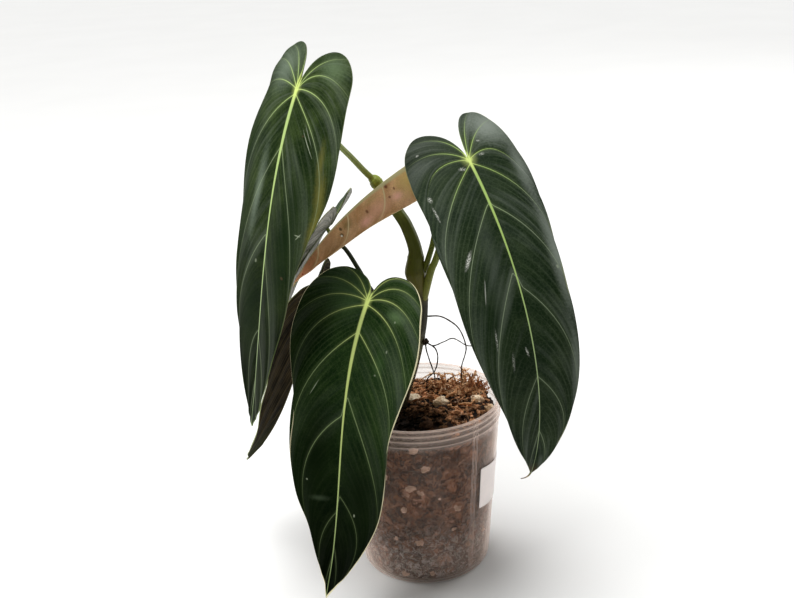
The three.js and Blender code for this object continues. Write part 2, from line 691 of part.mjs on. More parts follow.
// Bark mix filling the pot, with chips fused into its top
function buildSoil() {
  const ring = (radius, heightAt) => Array.from({ length: SOIL_SIDES }, (_, i) => {
    const angle = (i / SOIL_SIDES) * 2 * Math.PI;
    const x = radius * Math.cos(angle);
    const y = radius * Math.sin(angle);
    return vector([x, y, heightAt(x, y)]);
  });
  const bottom = POT_FLOOR + GAP;
  const rings = [
    ring(POT_BASE_RADIUS - 6, () => bottom),
    ring(POT_BASE_RADIUS - 3.2, () => 3.6),
    ring(roomAt(8), () => 8),
  ];
  for (const height of [35, 62, 89, 113]) {
    rings.push(ring(roomAt(height), () => height));
  }
  for (const share of [0.97, 0.82, 0.64, 0.46, 0.28, 0.12]) {
    rings.push(ring(share * roomAt(113), soilHeight));
  }
  let soil = stack(vector([0, 0, bottom]), rings, vector([0, 0, soilHeight(0, 0)]));
  for (let i = 0; i < BARK_CHIPS; i += 1) {
    const radius = 50 * Math.sqrt((i + 0.7) / BARK_CHIPS);
    const angle = i * 2.4;
    const size = [7 + 6 * scatter(i), 4 + 3 * scatter(i + 40), 3 + 1.5 * scatter(i + 80)];
    const chip = new THREE.BoxGeometry(...size);
    chip.rotateY(0.7 * scatter(i + 120) - 0.35);
    chip.rotateX(0.8 * scatter(i + 160) - 0.4);
    chip.rotateZ(6.28 * scatter(i + 200));
    const x = radius * Math.cos(angle);
    const y = radius * Math.sin(angle);
    chip.translate(x, y, soilHeight(x, y) + 0.9);
    soil = soil.add(solidOf(chip));
  }
  return soil.intersect(roomInPot());
}

// Moss tuft: an uneven core with curling strands rooted in it
function buildMoss(swell = 0) {
  let moss = lump(MOSS_AT, MOSS_SIZE, 7, swell);
  for (let i = 0; i < MOSS_STRANDS; i += 1) {
    const angle = i * 2.4;
    const spread = 0.35 + 0.5 * scatter(i + 300);
    const footX = MOSS_AT[0] + MOSS_SIZE[0] * 0.7 * Math.cos(angle);
    const footY = MOSS_AT[1] + MOSS_SIZE[1] * 0.7 * Math.sin(angle);
    const height = 7 + 9 * scatter(i + 340);
    const lean = 8 * spread;
    const curl = 5 * (scatter(i + 380) - 0.5);
    const strand = (out, flatter, curled, up) => [
      footX + out * lean * Math.cos(angle) + curled * curl,
      footY + flatter * lean * Math.sin(angle) + 0.5 * curled * (2 - curled) * curl,
      MOSS_AT[2] + up,
    ];
    const points = [
      strand(0, 0, 0, -2), strand(0.5, 0.4, 0, 0.6 * height),
      strand(1, 0.6, 1, height), strand(1.3, 0.7, 2, 0.85 * height),
    ];
    moss = moss.add(rod(points, [1.1, 0.6], 5, swell));
  }
  return moss;
}

function buildRoots(swell = 0) {
  const knotSize = [ROOT_KNOT_RADIUS, 0.8 * ROOT_KNOT_RADIUS, 1.2 * ROOT_KNOT_RADIUS];
  const parts = ROOTS.map(({ path, radius }) => rod(path, [1.15 * radius, 0.9 * radius], ROOT_SIDES, swell));
  return parts.reduce((whole, part) => whole.add(part), lump(ROOT_KNOT_AT, knotSize, 3, swell));
}

// Sticker lying on the pot's wall
function buildLabel() {
  const columns = 8;
  const rows = 2;
  const pointAt = (i, j, lift) => {
    const across = j / columns;
    const height = LABEL_BOTTOM + (LABEL_HEIGHT * (rows - i)) / rows - LABEL_FALL * across;
    const angle = radians(THREE.MathUtils.lerp(LABEL_START, LABEL_END, across));
    const radius = wallAt(height) + lift;
    return vector([radius * Math.sin(angle), -radius * Math.cos(angle), height]);
  };
  const rowAt = (i, lift) => Array.from({ length: columns + 1 }, (_, j) => pointAt(i, j, lift));
  const grid = (lift) => Array.from({ length: rows + 1 }, (_, i) => rowAt(i, lift));
  return sheet(grid(GAP + LABEL_THICKNESS), grid(GAP));
}

const plant = new THREE.Group();
plant.name = 'potted_philodendron';

const stalks = {};
for (const name of Object.keys(STALKS)) {
  const cutter = blade(LEAVES[name], GAP);
  stalks[name] = rod(stalkPath(name), STALKS[name].radii, STALK_SIDES).subtract(cutter);
}
const roots = buildRoots();

let stem = rod(STEM_PATH, STEM_RADII, STEM_SIDES).subtract(buildRoots(GAP));
for (const name of Object.keys(STALKS)) {
  stem = stem.subtract(rod(stalkPath(name), STALKS[name].radii, STALK_SIDES, GAP));
}

let moss = buildMoss().intersect(roomInPot()).subtract(buildRoots(GAP));
let soil = buildSoil().subtract(rod(STEM_PATH, STEM_RADII, STEM_SIDES, GAP));
soil = soil.subtract(buildRoots(GAP)).subtract(buildMoss(GAP));
PUMICE.forEach(({ at, size }, i) => {
  soil = soil.subtract(lump(at, size, i + 11, GAP));
  moss = moss.subtract(lump(at, size, i + 11, GAP));
});

plant.add(meshOf('pot', buildPot(), 'pot'));
plant.add(meshOf('label', buildLabel(), 'label'));
plant.add(meshOf('substrate', soil, 'bark'));
PUMICE.forEach(({ name, at, size }, i) => plant.add(meshOf(name, lump(at, size, i + 11), 'pumice')));
plant.add(meshOf('moss_tuft', moss, 'moss'));
plant.add(meshOf('stem', stem, 'stem'));
plant.add(meshOf('aerial_roots', roots, 'root'));
for (const [name, solid] of Object.entries(stalks)) {
  plant.add(meshOf(`petiole_${name}`, solid, STALK_FINISH[name]));
}
for (const [name, leaf] of Object.entries(LEAVES)) {
  plant.add(meshOf(`blade_${name}`, blade(leaf), BLADE_FINISH[name]));
}

export default plant;
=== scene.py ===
"""Looks of one young velvet-leaved philodendron in its clear nursery pot.

Lengths are millimetres until a mesh is made. x runs to the viewer's right, y away from the viewer and z up,
and the pot stands on z = 0.
"""

import logging
import math
from dataclasses import dataclass, field
from enum import Enum
from typing import Callable

import bmesh
import bpy
import numpy as np
from mathutils import Euler, Matrix, Vector, noise


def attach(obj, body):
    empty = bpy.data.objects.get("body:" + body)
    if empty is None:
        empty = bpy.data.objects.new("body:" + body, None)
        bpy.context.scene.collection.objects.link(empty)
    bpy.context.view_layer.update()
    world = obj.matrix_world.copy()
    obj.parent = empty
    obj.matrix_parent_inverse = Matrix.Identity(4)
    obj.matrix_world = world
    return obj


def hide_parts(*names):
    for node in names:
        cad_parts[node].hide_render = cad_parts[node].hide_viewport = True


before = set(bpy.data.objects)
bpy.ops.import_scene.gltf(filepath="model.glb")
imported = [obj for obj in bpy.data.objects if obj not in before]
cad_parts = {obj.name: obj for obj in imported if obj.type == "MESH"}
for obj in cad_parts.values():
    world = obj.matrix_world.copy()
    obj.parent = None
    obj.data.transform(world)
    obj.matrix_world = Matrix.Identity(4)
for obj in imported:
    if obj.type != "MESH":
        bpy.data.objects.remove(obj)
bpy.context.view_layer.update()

log = logging.getLogger("plant")

MM = 0.001
UV_UNIT = 100.0
GRID_WELD = 1e-3
SHORTEST_EDGE = 1e-5
SEED_STEPS = (7.3, 3.1, 5.7)
SCATTER_STEP = 12.9898
SCATTER_SPREAD = 43758.5453
FULL_TURN = 6.28
SPIRAL_TURN = 2.4

Mesh = bpy.types.Mesh
Piece = bpy.types.Object
Material = bpy.types.Material
Shape = bmesh.types.BMesh
Numbers = np.ndarray
Colour = tuple[float, float, float]
Socket = bpy.types.NodeSocket
Value = float | tuple | Socket


class Slot(Enum):
    """Material slots of the record."""

    POT = "pot"
    LABEL = "label"
    BARK = "bark"
    PUMICE = "pumice"
    MOSS = "moss"
    ROOT = "root"
    STEM = "stem"
    STALK_LIGHT = "stalk_light"
    STALK_DARK = "stalk_dark"
    VELVET = "velvet"
    GREY_BACK = "grey_back"
    DARK_BACK = "dark_back"
    NEW_PINK = "new_pink"


class Face(Enum):
    """Faces of a blade, by the sign of their height over the blade's middle."""

    UPPER = 1
    LOWER = -1


# Numbers and curves


def scatter(number: float) -> float:
    """Steady pseudo-random number from 0 to 1 for the item with this number."""
    wave = math.sin(number * SCATTER_STEP) * SCATTER_SPREAD
    return wave - math.floor(wave)


def between(values: list[float], position: Numbers) -> Numbers:
    """Straight interpolation in a list, by fractional positions."""
    return np.interp(position, np.arange(len(values)), values)


def smooth_at(points: list, position: Numbers) -> Numbers:
    """Smooth curve through points, by fractional positions.

    Args:
        points: Points of any number of coordinates.
        position: Fractional positions in the list.

    Returns:
        One point per position.
    """
    known = np.asarray(points, float)
    padded = np.vstack([2 * known[0] - known[1], known, 2 * known[-1] - known[-2]])
    index = np.clip(np.floor(position).astype(int), 0, len(known) - 2)
    t = (position - index)[:, None]
    before, here, ahead, after = (padded[index + k] for k in range(4))
    square = 2 * before - 5 * here + 4 * ahead - after
    cube = 3 * here - before - 3 * ahead + after
    return 0.5 * (2 * here + (ahead - before) * t + square * t**2 + cube * t**3)


def ease(value: Numbers, low: float, high: float) -> Numbers:
    """Smooth step from 0 at low to 1 at high."""
    share = np.clip((value - low) / (high - low), 0, 1)
    return share * share * (3 - 2 * share)


def unit(vectors: Numbers) -> Numbers:
    """Vectors brought to length 1."""
    return vectors / np.maximum(np.linalg.norm(vectors, axis=-1, keepdims=True), 1e-9)


def round_end(distance: Numbers, reach: float) -> Numbers:
    """Share of full thickness at a distance from a rounded edge."""
    share = np.clip(distance / reach, 0, 1)
    return np.sqrt(1 - (1 - share) ** 2)


# Meshes


def finished(shape: Shape, name: str) -> Mesh:
    """Mesh of a shape, which is freed.

    Args:
        shape: The shape.
        name: Name of the mesh.

    Returns:
        The mesh, with its coordinates kept.
    """
    mesh = bpy.data.meshes.new(name)
    shape.to_mesh(mesh)
    shape.free()
    return mesh


def absorb(whole: Shape, mesh: Mesh) -> None:
    """Moves a mesh into a whole."""
    whole.from_mesh(mesh)
    bpy.data.meshes.remove(mesh)


def linked(name: str, data: bpy.types.ID) -> Piece:
    """New object of the scene with this data.

    Args:
        name: Name of the object.
        data: Its mesh, light or camera.

    Returns:
        The object.
    """
    made = bpy.data.objects.new(name, data)
    bpy.context.scene.collection.objects.link(made)
    return made


@dataclass
class Shaped:
    """What the vertices of a grid are given, one row per vertex."""

    points: Numbers
    maps: dict[str, Numbers] = field(default_factory=dict)
    numbers: dict[str, Numbers] = field(default_factory=dict)


def grid_mesh(columns: int, rows: int, shape: Callable[[Numbers, Numbers], Shaped],
              outward: bool = True) -> Mesh:
    """Grid of faces whose vertices are moved by a formula.

    Args:
        columns: Faces along u.
        rows: Faces along v.
        shape: Gives the vertices for u and v, which run from 0 to 1.
        outward: Whether the faces are turned to point out of a closed form.

    Returns:
        The mesh, in metres, smooth shaded.
    """
    grid = bmesh.new()
    bmesh.ops.create_grid(grid, x_segments=columns, y_segments=rows, size=0.5)
    flat = np.array([vertex.co[:2] for vertex in grid.verts]) + 0.5
    shaped = shape(flat[:, 0], flat[:, 1])
    for vertex, point in zip(grid.verts, shaped.points * MM):
        vertex.co = point
    mesh = finished(grid, "grid")
    corners = np.empty(len(mesh.loops), int)
    mesh.loops.foreach_get("vertex_index", corners)
    for name, values in shaped.maps.items():
        mesh.uv_layers.new(name=name).data.foreach_set("uv", values[corners].astype(np.float32).ravel())
    for name, values in shaped.numbers.items():
        layer = mesh.attributes.new(name, "FLOAT", "POINT")
        layer.data.foreach_set("value", values.astype(np.float32))
    welded = bmesh.new()
    welded.from_mesh(mesh)
    bmesh.ops.remove_doubles(welded, verts=welded.verts, dist=GRID_WELD * MM)
    bmesh.ops.dissolve_degenerate(welded, edges=welded.edges, dist=SHORTEST_EDGE * MM)
    if outward:
        bmesh.ops.recalc_face_normals(welded, faces=welded.faces)
    for face in welded.faces:
        face.smooth = True
    welded.to_mesh(mesh)
    welded.free()
    return mesh


def joined(name: str, meshes: list[Mesh], weld: float = 0.0) -> Piece:
    """One object from several meshes.

    Args:
        name: Name of the object.
        meshes: Meshes whose material numbers, UV maps and attributes are kept.
        weld: Vertices closer than this, in millimetres, become one.

    Returns:
        The linked object.
    """
    whole = bmesh.new()
    for mesh in meshes:
        absorb(whole, mesh)
    if weld:
        bmesh.ops.remove_doubles(whole, verts=whole.verts, dist=weld * MM)
        bmesh.ops.recalc_face_normals(whole, faces=whole.faces)
    return linked(name, finished(whole, name))


def set_material_number(mesh: Mesh, number: int) -> None:
    """Gives every face of a mesh the material with this number."""
    mesh.polygons.foreach_set("material_index", np.full(len(mesh.polygons), number, np.int32))


@dataclass
class Rod:
    """Round rod along a smooth path, closed by rounded ends."""

    path: list
    radii: list[float]
    sides: int = 24
    steps_per_point: int = 12
    bulge: float = 0.5
    cap_steps: int = 4
    relief: Callable[[Numbers, Numbers], Numbers] | None = None

    def mesh(self) -> Mesh:
        """Mesh of the rod with the UV map Bark, once round and once along.

        Returns:
            The mesh, in metres.
        """
        steps = self.steps_per_point * (len(self.path) - 1)
        centres = smooth_at(self.path, np.linspace(0, len(self.path) - 1, steps + 1))
        tangents = unit(np.gradient(centres, axis=0))
        sides = self.carried_sides(tangents)
        cap = self.cap_steps
        rows = steps + 2 * cap

        def shape(u: Numbers, v: Numbers) -> Shaped:
            """Ring points of the body and of the two rounded ends.

            Args:
                u: Way round.
                v: Way along, ends included.

            Returns:
                The points with their map.
            """
            row = np.rint(v * rows) - cap
            before = np.clip(-row / cap, 0, 1)
            after = np.clip((row - steps) / cap, 0, 1)
            at = np.clip(row, 0, steps).astype(int)
            radius = between(self.radii, at / steps * (len(self.radii) - 1))
            if self.relief:
                radius = radius + self.relief(u, at / steps)
            past = np.sin((after - before) * math.pi / 2) * self.bulge * radius
            ring = radius * np.cos((after + before) * math.pi / 2)
            angle = 2 * math.pi * u
            side = sides[at]
            other = np.cross(tangents[at], side)
            across = np.cos(angle)[:, None] * side + np.sin(angle)[:, None] * other
            points = centres[at] + ring[:, None] * across + past[:, None] * tangents[at]
            return Shaped(points, {"Bark": np.stack([u, at / steps], 1)})

        return grid_mesh(self.sides, rows, shape)

    @staticmethod
    def carried_sides(tangents: Numbers) -> Numbers:
        """Sideways directions that turn as little as they can along the path.

        Args:
            tangents: Directions of the path.

        Returns:
            One direction of length 1 per point.
        """
        side = unit(np.cross([0.3, 1, 0.1], tangents[0]))
        sides = []
        for tangent in tangents:
            side = unit(side - side.dot(tangent) * tangent)
            sides.append(side)
        return np.array(sides)


@dataclass(frozen=True)
class Lump:
    """Uneven lump. unevenness is the share of its size that noise moves its surface."""

    at: tuple[float, float, float]
    size: tuple[float, float, float]
    seed: float
    unevenness: float = 0.2
    subdivisions: int = 5
    pits: float = 0.0

    def mesh(self) -> Mesh:
        """Closed mesh of the lump.

        Returns:
            The mesh, in metres.
        """
        ball = bmesh.new()
        bmesh.ops.create_icosphere(ball, subdivisions=self.subdivisions, radius=1.0)
        shift = Vector([self.seed * step for step in SEED_STEPS])
        for vertex in ball.verts:
            way = vertex.co.normalized()
            broad = noise.noise(way * 1.3 + shift) + 0.5 * noise.noise(way * 3.1 + shift)
            pit = max(0.0, noise.noise(way * 8 + shift) - 0.12)
            radius = 1 + self.unevenness * broad - self.pits * pit
            vertex.co = [(self.at[k] + way[k] * self.size[k] * radius) * MM for k in range(3)]
        for face in ball.faces:
            face.smooth = True
        return finished(ball, "lump")


# Materials


class Shader:
    """Builder of one material's nodes."""

    def __init__(self, name: str) -> None:
        """Starts an empty material.

        Args:
            name: Name of the material.
        """
        self.material = bpy.data.materials.new(name)
        self.material.use_nodes = True
        self.tree = self.material.node_tree
        self.tree.nodes.clear()

    def feed(self, target: Socket, value: Value) -> None:
        """Links a socket to the target or sets the target's own value.

        Args:
            target: Input socket.
            value: Value or output socket.
        """
        if isinstance(value, Socket):
            self.tree.links.new(value, target)
        elif target.type == "RGBA":
            target.default_value = (*value[:3], 1)
        else:
            target.default_value = value

    def node(self, kind: str, inputs: dict, **settings: object) -> bpy.types.Node:
        """Adds a node.

        Args:
            kind: Type of the node.
            inputs: Values or sockets by input name or number.
            settings: Properties of the node.

        Returns:
            The node.
        """
        made = self.tree.nodes.new(kind)
        for name, value in settings.items():
            setattr(made, name, value)
        for name, value in inputs.items():
            self.feed(made.inputs[name], value)
        return made

    def math(self, operation: str, first: Value, second: Value = 0.0, third: Value = 0.0) -> Socket:
        """Result of a math operation."""
        return self.node("ShaderNodeMath", {0: first, 1: second, 2: third}, operation=operation).outputs[0]

    def times(self, first: Value, second: Value) -> Socket:
        """Product of two values."""
        return self.math("MULTIPLY", first, second)

    def plus(self, first: Value, second: Value) -> Socket:
        """Sum of two values."""
        return self.math("ADD", first, second)

    def apart(self, first: Value, second: Value) -> Socket:
        """Distance between two values."""
        return self.math("ABSOLUTE", self.math("SUBTRACT", first, second))

    def weighed(self, first: Socket, weight: float, second: Socket, other: float) -> Socket:
        """Sum of two values by their weights."""
        return self.plus(self.times(first, weight), self.times(second, other))

    def length(self, place: Socket) -> Socket:
        """Distance of a place from the origin."""
        return self.node("ShaderNodeVectorMath", {0: place}, operation="LENGTH").outputs["Value"]

    def vectors(self, operation: str, inputs: dict) -> Socket:
        """Result of an operation on places."""
        return self.node("ShaderNodeVectorMath", inputs, operation=operation).outputs[0]

    def mix(self, share: Value, first: Value, second: Value, blend: str = "MIX") -> Socket:
        """Colour mixed from two colours."""
        inputs = {0: share, 6: first, 7: second}
        return self.node("ShaderNodeMix", inputs, data_type="RGBA", blend_type=blend).outputs[2]

    def step(self, value: Value, low: float, high: float, start: Value = 0.0, end: Value = 1.0) -> Socket:
        """Smooth step from start at low to end at high."""
        inputs = {0: value, 1: low, 2: high, 3: start, 4: end}
        return self.node("ShaderNodeMapRange", inputs, interpolation_type="SMOOTHSTEP").outputs[0]

    def place(self) -> Socket:
        """Object coordinates."""
        return self.node("ShaderNodeTexCoord", {}).outputs["Object"]

    def map_place(self, name: str) -> Socket:
        """Coordinates of a UV map."""
        return self.node("ShaderNodeUVMap", {}, uv_map=name).outputs[0]

    def number(self, name: str) -> Socket:
        """Value of a vertex attribute."""
        return self.node("ShaderNodeAttribute", {}, attribute_name=name).outputs["Fac"]

    def scaled(self, place: Socket, scale: tuple[float, float, float]) -> Socket:
        """Coordinates multiplied by a scale."""
        return self.node("ShaderNodeMapping", {"Vector": place, "Scale": scale}).outputs[0]

    def axis(self, place: Socket, index: int) -> Socket:
        """One coordinate of a place."""
        return self.node("ShaderNodeSeparateXYZ", {0: place}).outputs[index]

    def noise(self, place: Socket, scale: float, detail: float = 3.0, rough: float = 0.55,
              warp: float = 0.0) -> Socket:
        """Smooth noise around 0.5."""
        inputs = {"Vector": place, "Scale": scale, "Detail": detail, "Roughness": rough, "Distortion": warp}
        return self.node("ShaderNodeTexNoise", inputs).outputs[0]

    def cells(self, place: Socket, scale: float, output: str = "Distance", feature: str = "F1") -> Socket:
        """Cell pattern."""
        inputs = {"Vector": place, "Scale": scale}
        return self.node("ShaderNodeTexVoronoi", inputs, feature=feature).outputs[output]

    def ramp(self, value: Socket, stops: list[tuple[float, Colour]]) -> Socket:
        """Colour from a value, by stops of position and colour.

        Args:
            value: Position, 0 to 1.
            stops: Positions with their colours.

        Returns:
            The colour.
        """
        made = self.node("ShaderNodeValToRGB", {0: value})
        elements = made.color_ramp.elements
        while len(elements) < len(stops):
            elements.new(1)
        for element, (position, colour) in zip(elements, stops):
            element.position = position
            element.color = (*colour, 1)
        return made.outputs[0]

    def tones(self, value: Socket, low: float, dark: float, high: float, light: float) -> Socket:
        """Grey from dark at low to light at high."""
        return self.ramp(value, [(low, (dark,) * 3), (high, (light,) * 3)])

    def bump(self, height: Socket, millimetres: float) -> Socket:
        """Surface direction from a height that spans this many millimetres."""
        inputs = {"Height": height, "Distance": millimetres * MM, "Strength": 1.0}
        return self.node("ShaderNodeBump", inputs).outputs[0]

    def done(self, surface: Socket) -> Material:
        """The material, with this surface."""
        self.node("ShaderNodeOutputMaterial", {0: surface})
        return self.material

    def principled(self, inputs: dict) -> Socket:
        """Surface from the inputs of the principled shader."""
        return self.node("ShaderNodeBsdfPrincipled", inputs).outputs[0]


SCUFF_GREY = (0.55, 0.56, 0.5)
MARK_GRAIN = 60
MARK_REACH = 1.25
SPECKLE_GRAIN = 110


@dataclass(frozen=True)
class Mark:
    """Scuff, spot, tint, painted sheen or painted shade on a blade, in flat leaf millimetres. half_size is
    across and along.
    """

    at: tuple[float, float]
    half_size: tuple[float, float]
    colour: Colour
    turn: float = 0.0
    strength: float = 0.8
    softness: float = 0.6
    broken: bool = False

    def over(self, shader: Shader, flat: Socket, colour: Socket) -> Socket:
        """Colour with the mark laid over it.

        Args:
            shader: Builder of the material.
            flat: Flat place on the blade.
            colour: Colour underneath.

        Returns:
            The new colour.
        """
        centre = (self.at[0] / UV_UNIT, self.at[1] / UV_UNIT, 0)
        size = (self.half_size[0] / UV_UNIT, self.half_size[1] / UV_UNIT, 1)
        turn = (0, 0, math.radians(self.turn))
        inputs = {"Vector": flat, "Location": centre, "Rotation": turn, "Scale": size}
        local = shader.node("ShaderNodeMapping", inputs, vector_type="TEXTURE").outputs[0]
        uneven = shader.plus(shader.length(local), shader.times(shader.noise(flat, MARK_GRAIN), 0.5))
        share = shader.step(uneven, MARK_REACH - self.softness, MARK_REACH, self.strength, 0)
        if self.broken:
            speckle = shader.step(shader.noise(flat, SPECKLE_GRAIN, 2.0, 0.7), 0.44, 0.56, 0.1, 1)
            share = shader.times(share, speckle)
        return shader.mix(share, colour, self.colour)


def scratch(start: tuple[float, float], end: tuple[float, float], width: float, colour: Colour,
            strength: float) -> Mark:
    """Thin mark from start to end.

    Args:
        start: One end.
        end: Other end.
        width: Full width.
        colour: Its colour.
        strength: Cover, 0 to 1.

    Returns:
        The mark.
    """
    middle = ((start[0] + end[0]) / 2, (start[1] + end[1]) / 2)
    across, along = end[0] - start[0], end[1] - start[1]
    turn = math.degrees(math.atan2(-across, along))
    return Mark(middle, (width / 2, math.hypot(across, along) / 2), colour, turn, strength)


def chalk(at: tuple[float, float], half_size: tuple[float, float], turn: float, strength: float) -> Mark:
    """Broken whitish scuff."""
    return Mark(at, half_size, SCUFF_GREY, turn, strength, 0.9, broken=True)


def tint_and_painted_light(at: tuple[float, float], half_size: tuple[float, float], colour: Colour, strength: float,
         turn: float = 0.0) -> Mark:
    """Patch of colour with a soft edge, for tints of the blade's own colour and for painted sheen and painted
    shade.
    """
    return Mark(at, half_size, colour, turn, strength, 1.1)


FINE_VEINS_PER_ROW = 7
HAIR_GRAIN = 2600
CLOUD_GRAIN = 4.0
NET_GRAIN = 34
STAR_RINGS = ((0.01, 0.07, 0.32), (0.009, 0.032, 0.85))


class BladePlace:
    """Sockets that say where on a blade a point lies."""

    def __init__(self, shader: Shader) -> None:
        """Reads the blade's maps.

        Args:
            shader: Builder of the material.
        """
        self.flat = shader.map_place("Flat")
        self.vein = shader.map_place("Vein")
        self.row = shader.axis(self.vein, 0)
        self.share = shader.axis(self.vein, 1)
        self.ahead = shader.axis(self.flat, 1)
        self.to_notch = shader.length(self.flat)
        fine_row = shader.math("FRACT", shader.times(self.row, FINE_VEINS_PER_ROW))
        self.off_fine_vein = shader.apart(fine_row, 0.5)


@dataclass(frozen=True)
class VelvetFinish:
    """Velvety upper face of a blade with pale veins."""

    name: str
    deep: Colour = (0.012, 0.028, 0.009)
    light: Colour = (0.032, 0.062, 0.022)
    # Share of the colour left at the tip: painted shade toward the tip.
    tip_shade: float = 1.0
    vein: Colour = (0.22, 0.29, 0.13)
    vein_strength: float = 0.6
    vein_half_mm: float = 0.45
    midrib: Colour = (0.38, 0.47, 0.2)
    star: Colour = (0.52, 0.62, 0.18)
    rib_width: float = 0.8
    rib_flare: float = 1.45
    tip_veins: float = 0.7
    rim: Colour = (0.3, 0.33, 0.15)
    rim_mm: float = 0.7
    streaks: float = 26.0
    # Painted sheen: its colour, its cover on the folds and its cover on one slope of each panel.
    painted_sheen: Colour = (0.085, 0.105, 0.075)
    painted_sheen_strength: float = 0.45
    painted_slope_light: float = 0.0
    sheen: float = 0.03
    sheen_tint: Colour = (0.62, 0.75, 0.5)
    ior: float = 1.16
    marks: tuple[Mark, ...] = ()

    def build(self) -> Material:
        """Material of the face.

        Returns:
            The material.
        """
        shader = Shader(self.name)
        place = BladePlace(shader)
        grain = shader.noise(shader.place(), HAIR_GRAIN, 2.0, 0.7)
        colour = self.velvet(shader, place, grain)
        for mark in self.marks:
            colour = mark.over(shader, place.flat, colour)
        colour = self.with_veins(shader, place, grain, colour)
        colour = self.with_midrib(shader, place, colour)
        hairs = shader.plus(grain, shader.times(place.off_fine_vein, 0.8))
        return shader.done(shader.principled({
            "Base Color": colour,
            "Roughness": 0.42,
            "IOR": self.ior,
            "Sheen Weight": self.sheen,
            "Sheen Roughness": 0.4,
            "Sheen Tint": self.sheen_tint,
            "Normal": shader.bump(hairs, 0.03),
        }))

    def velvet(self, shader: Shader, place: BladePlace, grain: Socket) -> Socket:
        """Colour between the main veins: streaks, painted sheen on the folds and on one slope of each panel,
        fine veins and grain, and painted shade toward the tip.

        Args:
            shader: Builder of the material.
            place: Where the point lies.
            grain: Noise of the hairs.

        Returns:
            The colour.
        """
        streaks = shader.noise(shader.scaled(place.vein, (self.streaks, 2.2, 1)), 1.0, 4.0, 0.6, 0.5)
        cloud = shader.noise(place.flat, CLOUD_GRAIN, 4.0)
        tone = shader.weighed(streaks, 0.42, cloud, 0.58)
        colour = shader.mix(shader.step(tone, 0.38, 0.64), self.deep, self.light)
        # Painted sheen laid along streaks on the folds.
        painted_sheen_folds = shader.noise(shader.scaled(place.vein, (3.1, 0.9, 1)), 1.0, 3.0, 0.55)
        colour = shader.mix(shader.step(painted_sheen_folds, 0.48, 0.68, 0, self.painted_sheen_strength), colour, self.painted_sheen)
        # Painted light on one slope of each panel between the veins.
        wave = shader.math("SINE", shader.times(place.row, 2 * math.pi))
        slope = shader.step(wave, 0, 1, 0, self.painted_slope_light)
        slope = shader.times(slope, shader.step(place.share, 0.3, 0.85))
        colour = shader.mix(slope, colour, self.painted_sheen)
        fine = shader.step(place.off_fine_vein, 0.0, 0.25, 0.05, 0)
        fine = shader.times(fine, shader.step(place.share, 0.05, 0.3))
        colour = shader.mix(fine, colour, self.vein)
        net = shader.cells(place.flat, NET_GRAIN, feature="DISTANCE_TO_EDGE")
        colour = shader.mix(shader.step(net, 0.0, 0.1, 0.035, 0), colour, self.vein)
        colour = shader.mix(0.8, colour, shader.tones(grain, 0.3, 0.55, 0.72, 1.4), "MULTIPLY")
        # Painted shade: the colour darkens toward the tip.
        shade = shader.step(place.ahead, 0.2, 2.0, 1.0, self.tip_shade)
        grey = shader.node("ShaderNodeCombineColor", {0: shade, 1: shade, 2: shade}).outputs[0]
        return shader.mix(1.0, colour, grey, "MULTIPLY")

    def with_veins(self, shader: Shader, place: BladePlace, grain: Socket, colour: Socket) -> Socket:
        """Colour with the margin and the main veins, which fade toward the margin and the tip.

        Args:
            shader: Builder of the material.
            place: Where the point lies.
            grain: Noise of the hairs.
            colour: Colour underneath.

        Returns:
            The new colour.
        """
        vein_mm = shader.plus(shader.number("vein_mm"), shader.times(grain, 0.12))
        vein_colour = shader.mix(shader.step(place.to_notch, 0.1, 0.6), self.midrib, self.vein)
        vein_colour = shader.mix(shader.step(place.to_notch, 0.01, 0.1), self.star, vein_colour)
        outward = shader.step(place.share, 0.25, 1.0, self.vein_strength, 0.3 * self.vein_strength)
        near = shader.step(place.to_notch, 0.05, 0.6, 1.0 - self.vein_strength, 0)
        near = shader.times(near, shader.step(place.share, 0.2, 0.9, 1, 0))
        ahead = shader.step(place.ahead, 0.4, 1.7, 1, self.tip_veins)
        fading = shader.times(shader.plus(outward, near), ahead)
        halo = shader.times(shader.step(vein_mm, 0.2, 2.2, 0.12, 0), fading)
        line = shader.times(shader.step(vein_mm, 0.1, self.vein_half_mm, 1, 0), fading)
        colour = shader.mix(line, shader.mix(halo, colour, vein_colour), vein_colour)
        edge = shader.step(shader.number("edge_mm"), 0.5 * self.rim_mm, self.rim_mm, 0.95, 0)
        return shader.mix(edge, colour, self.rim)

    def with_midrib(self, shader: Shader, place: BladePlace, colour: Socket) -> Socket:
        """Colour with the midrib and the bright star at the notch laid over it.

        Args:
            shader: Builder of the material.
            place: Where the point lies.
            colour: Colour underneath.

        Returns:
            The new colour.
        """
        wide = shader.step(place.ahead, 0.15, 0.9, self.rib_flare * self.rib_width, self.rib_width)
        beside = shader.math("DIVIDE", shader.number("rib_share"), wide)
        full = shader.step(place.ahead, 1.2, 2.2, 0.95, 0.55 + 0.4 * self.tip_veins)
        rib_colour = shader.mix(shader.step(place.ahead, 0.0, 0.14), self.star, self.midrib)
        rib_colour = shader.mix(shader.step(place.ahead, 0.5, 1.9, 0, 0.8), rib_colour, self.vein)
        colour = shader.mix(shader.step(beside, 0.45, 1.15, full, 0), colour, rib_colour)
        for near, far, strength in STAR_RINGS:
            colour = shader.mix(shader.step(place.to_notch, near, far, strength, 0), colour, self.star)
        return colour


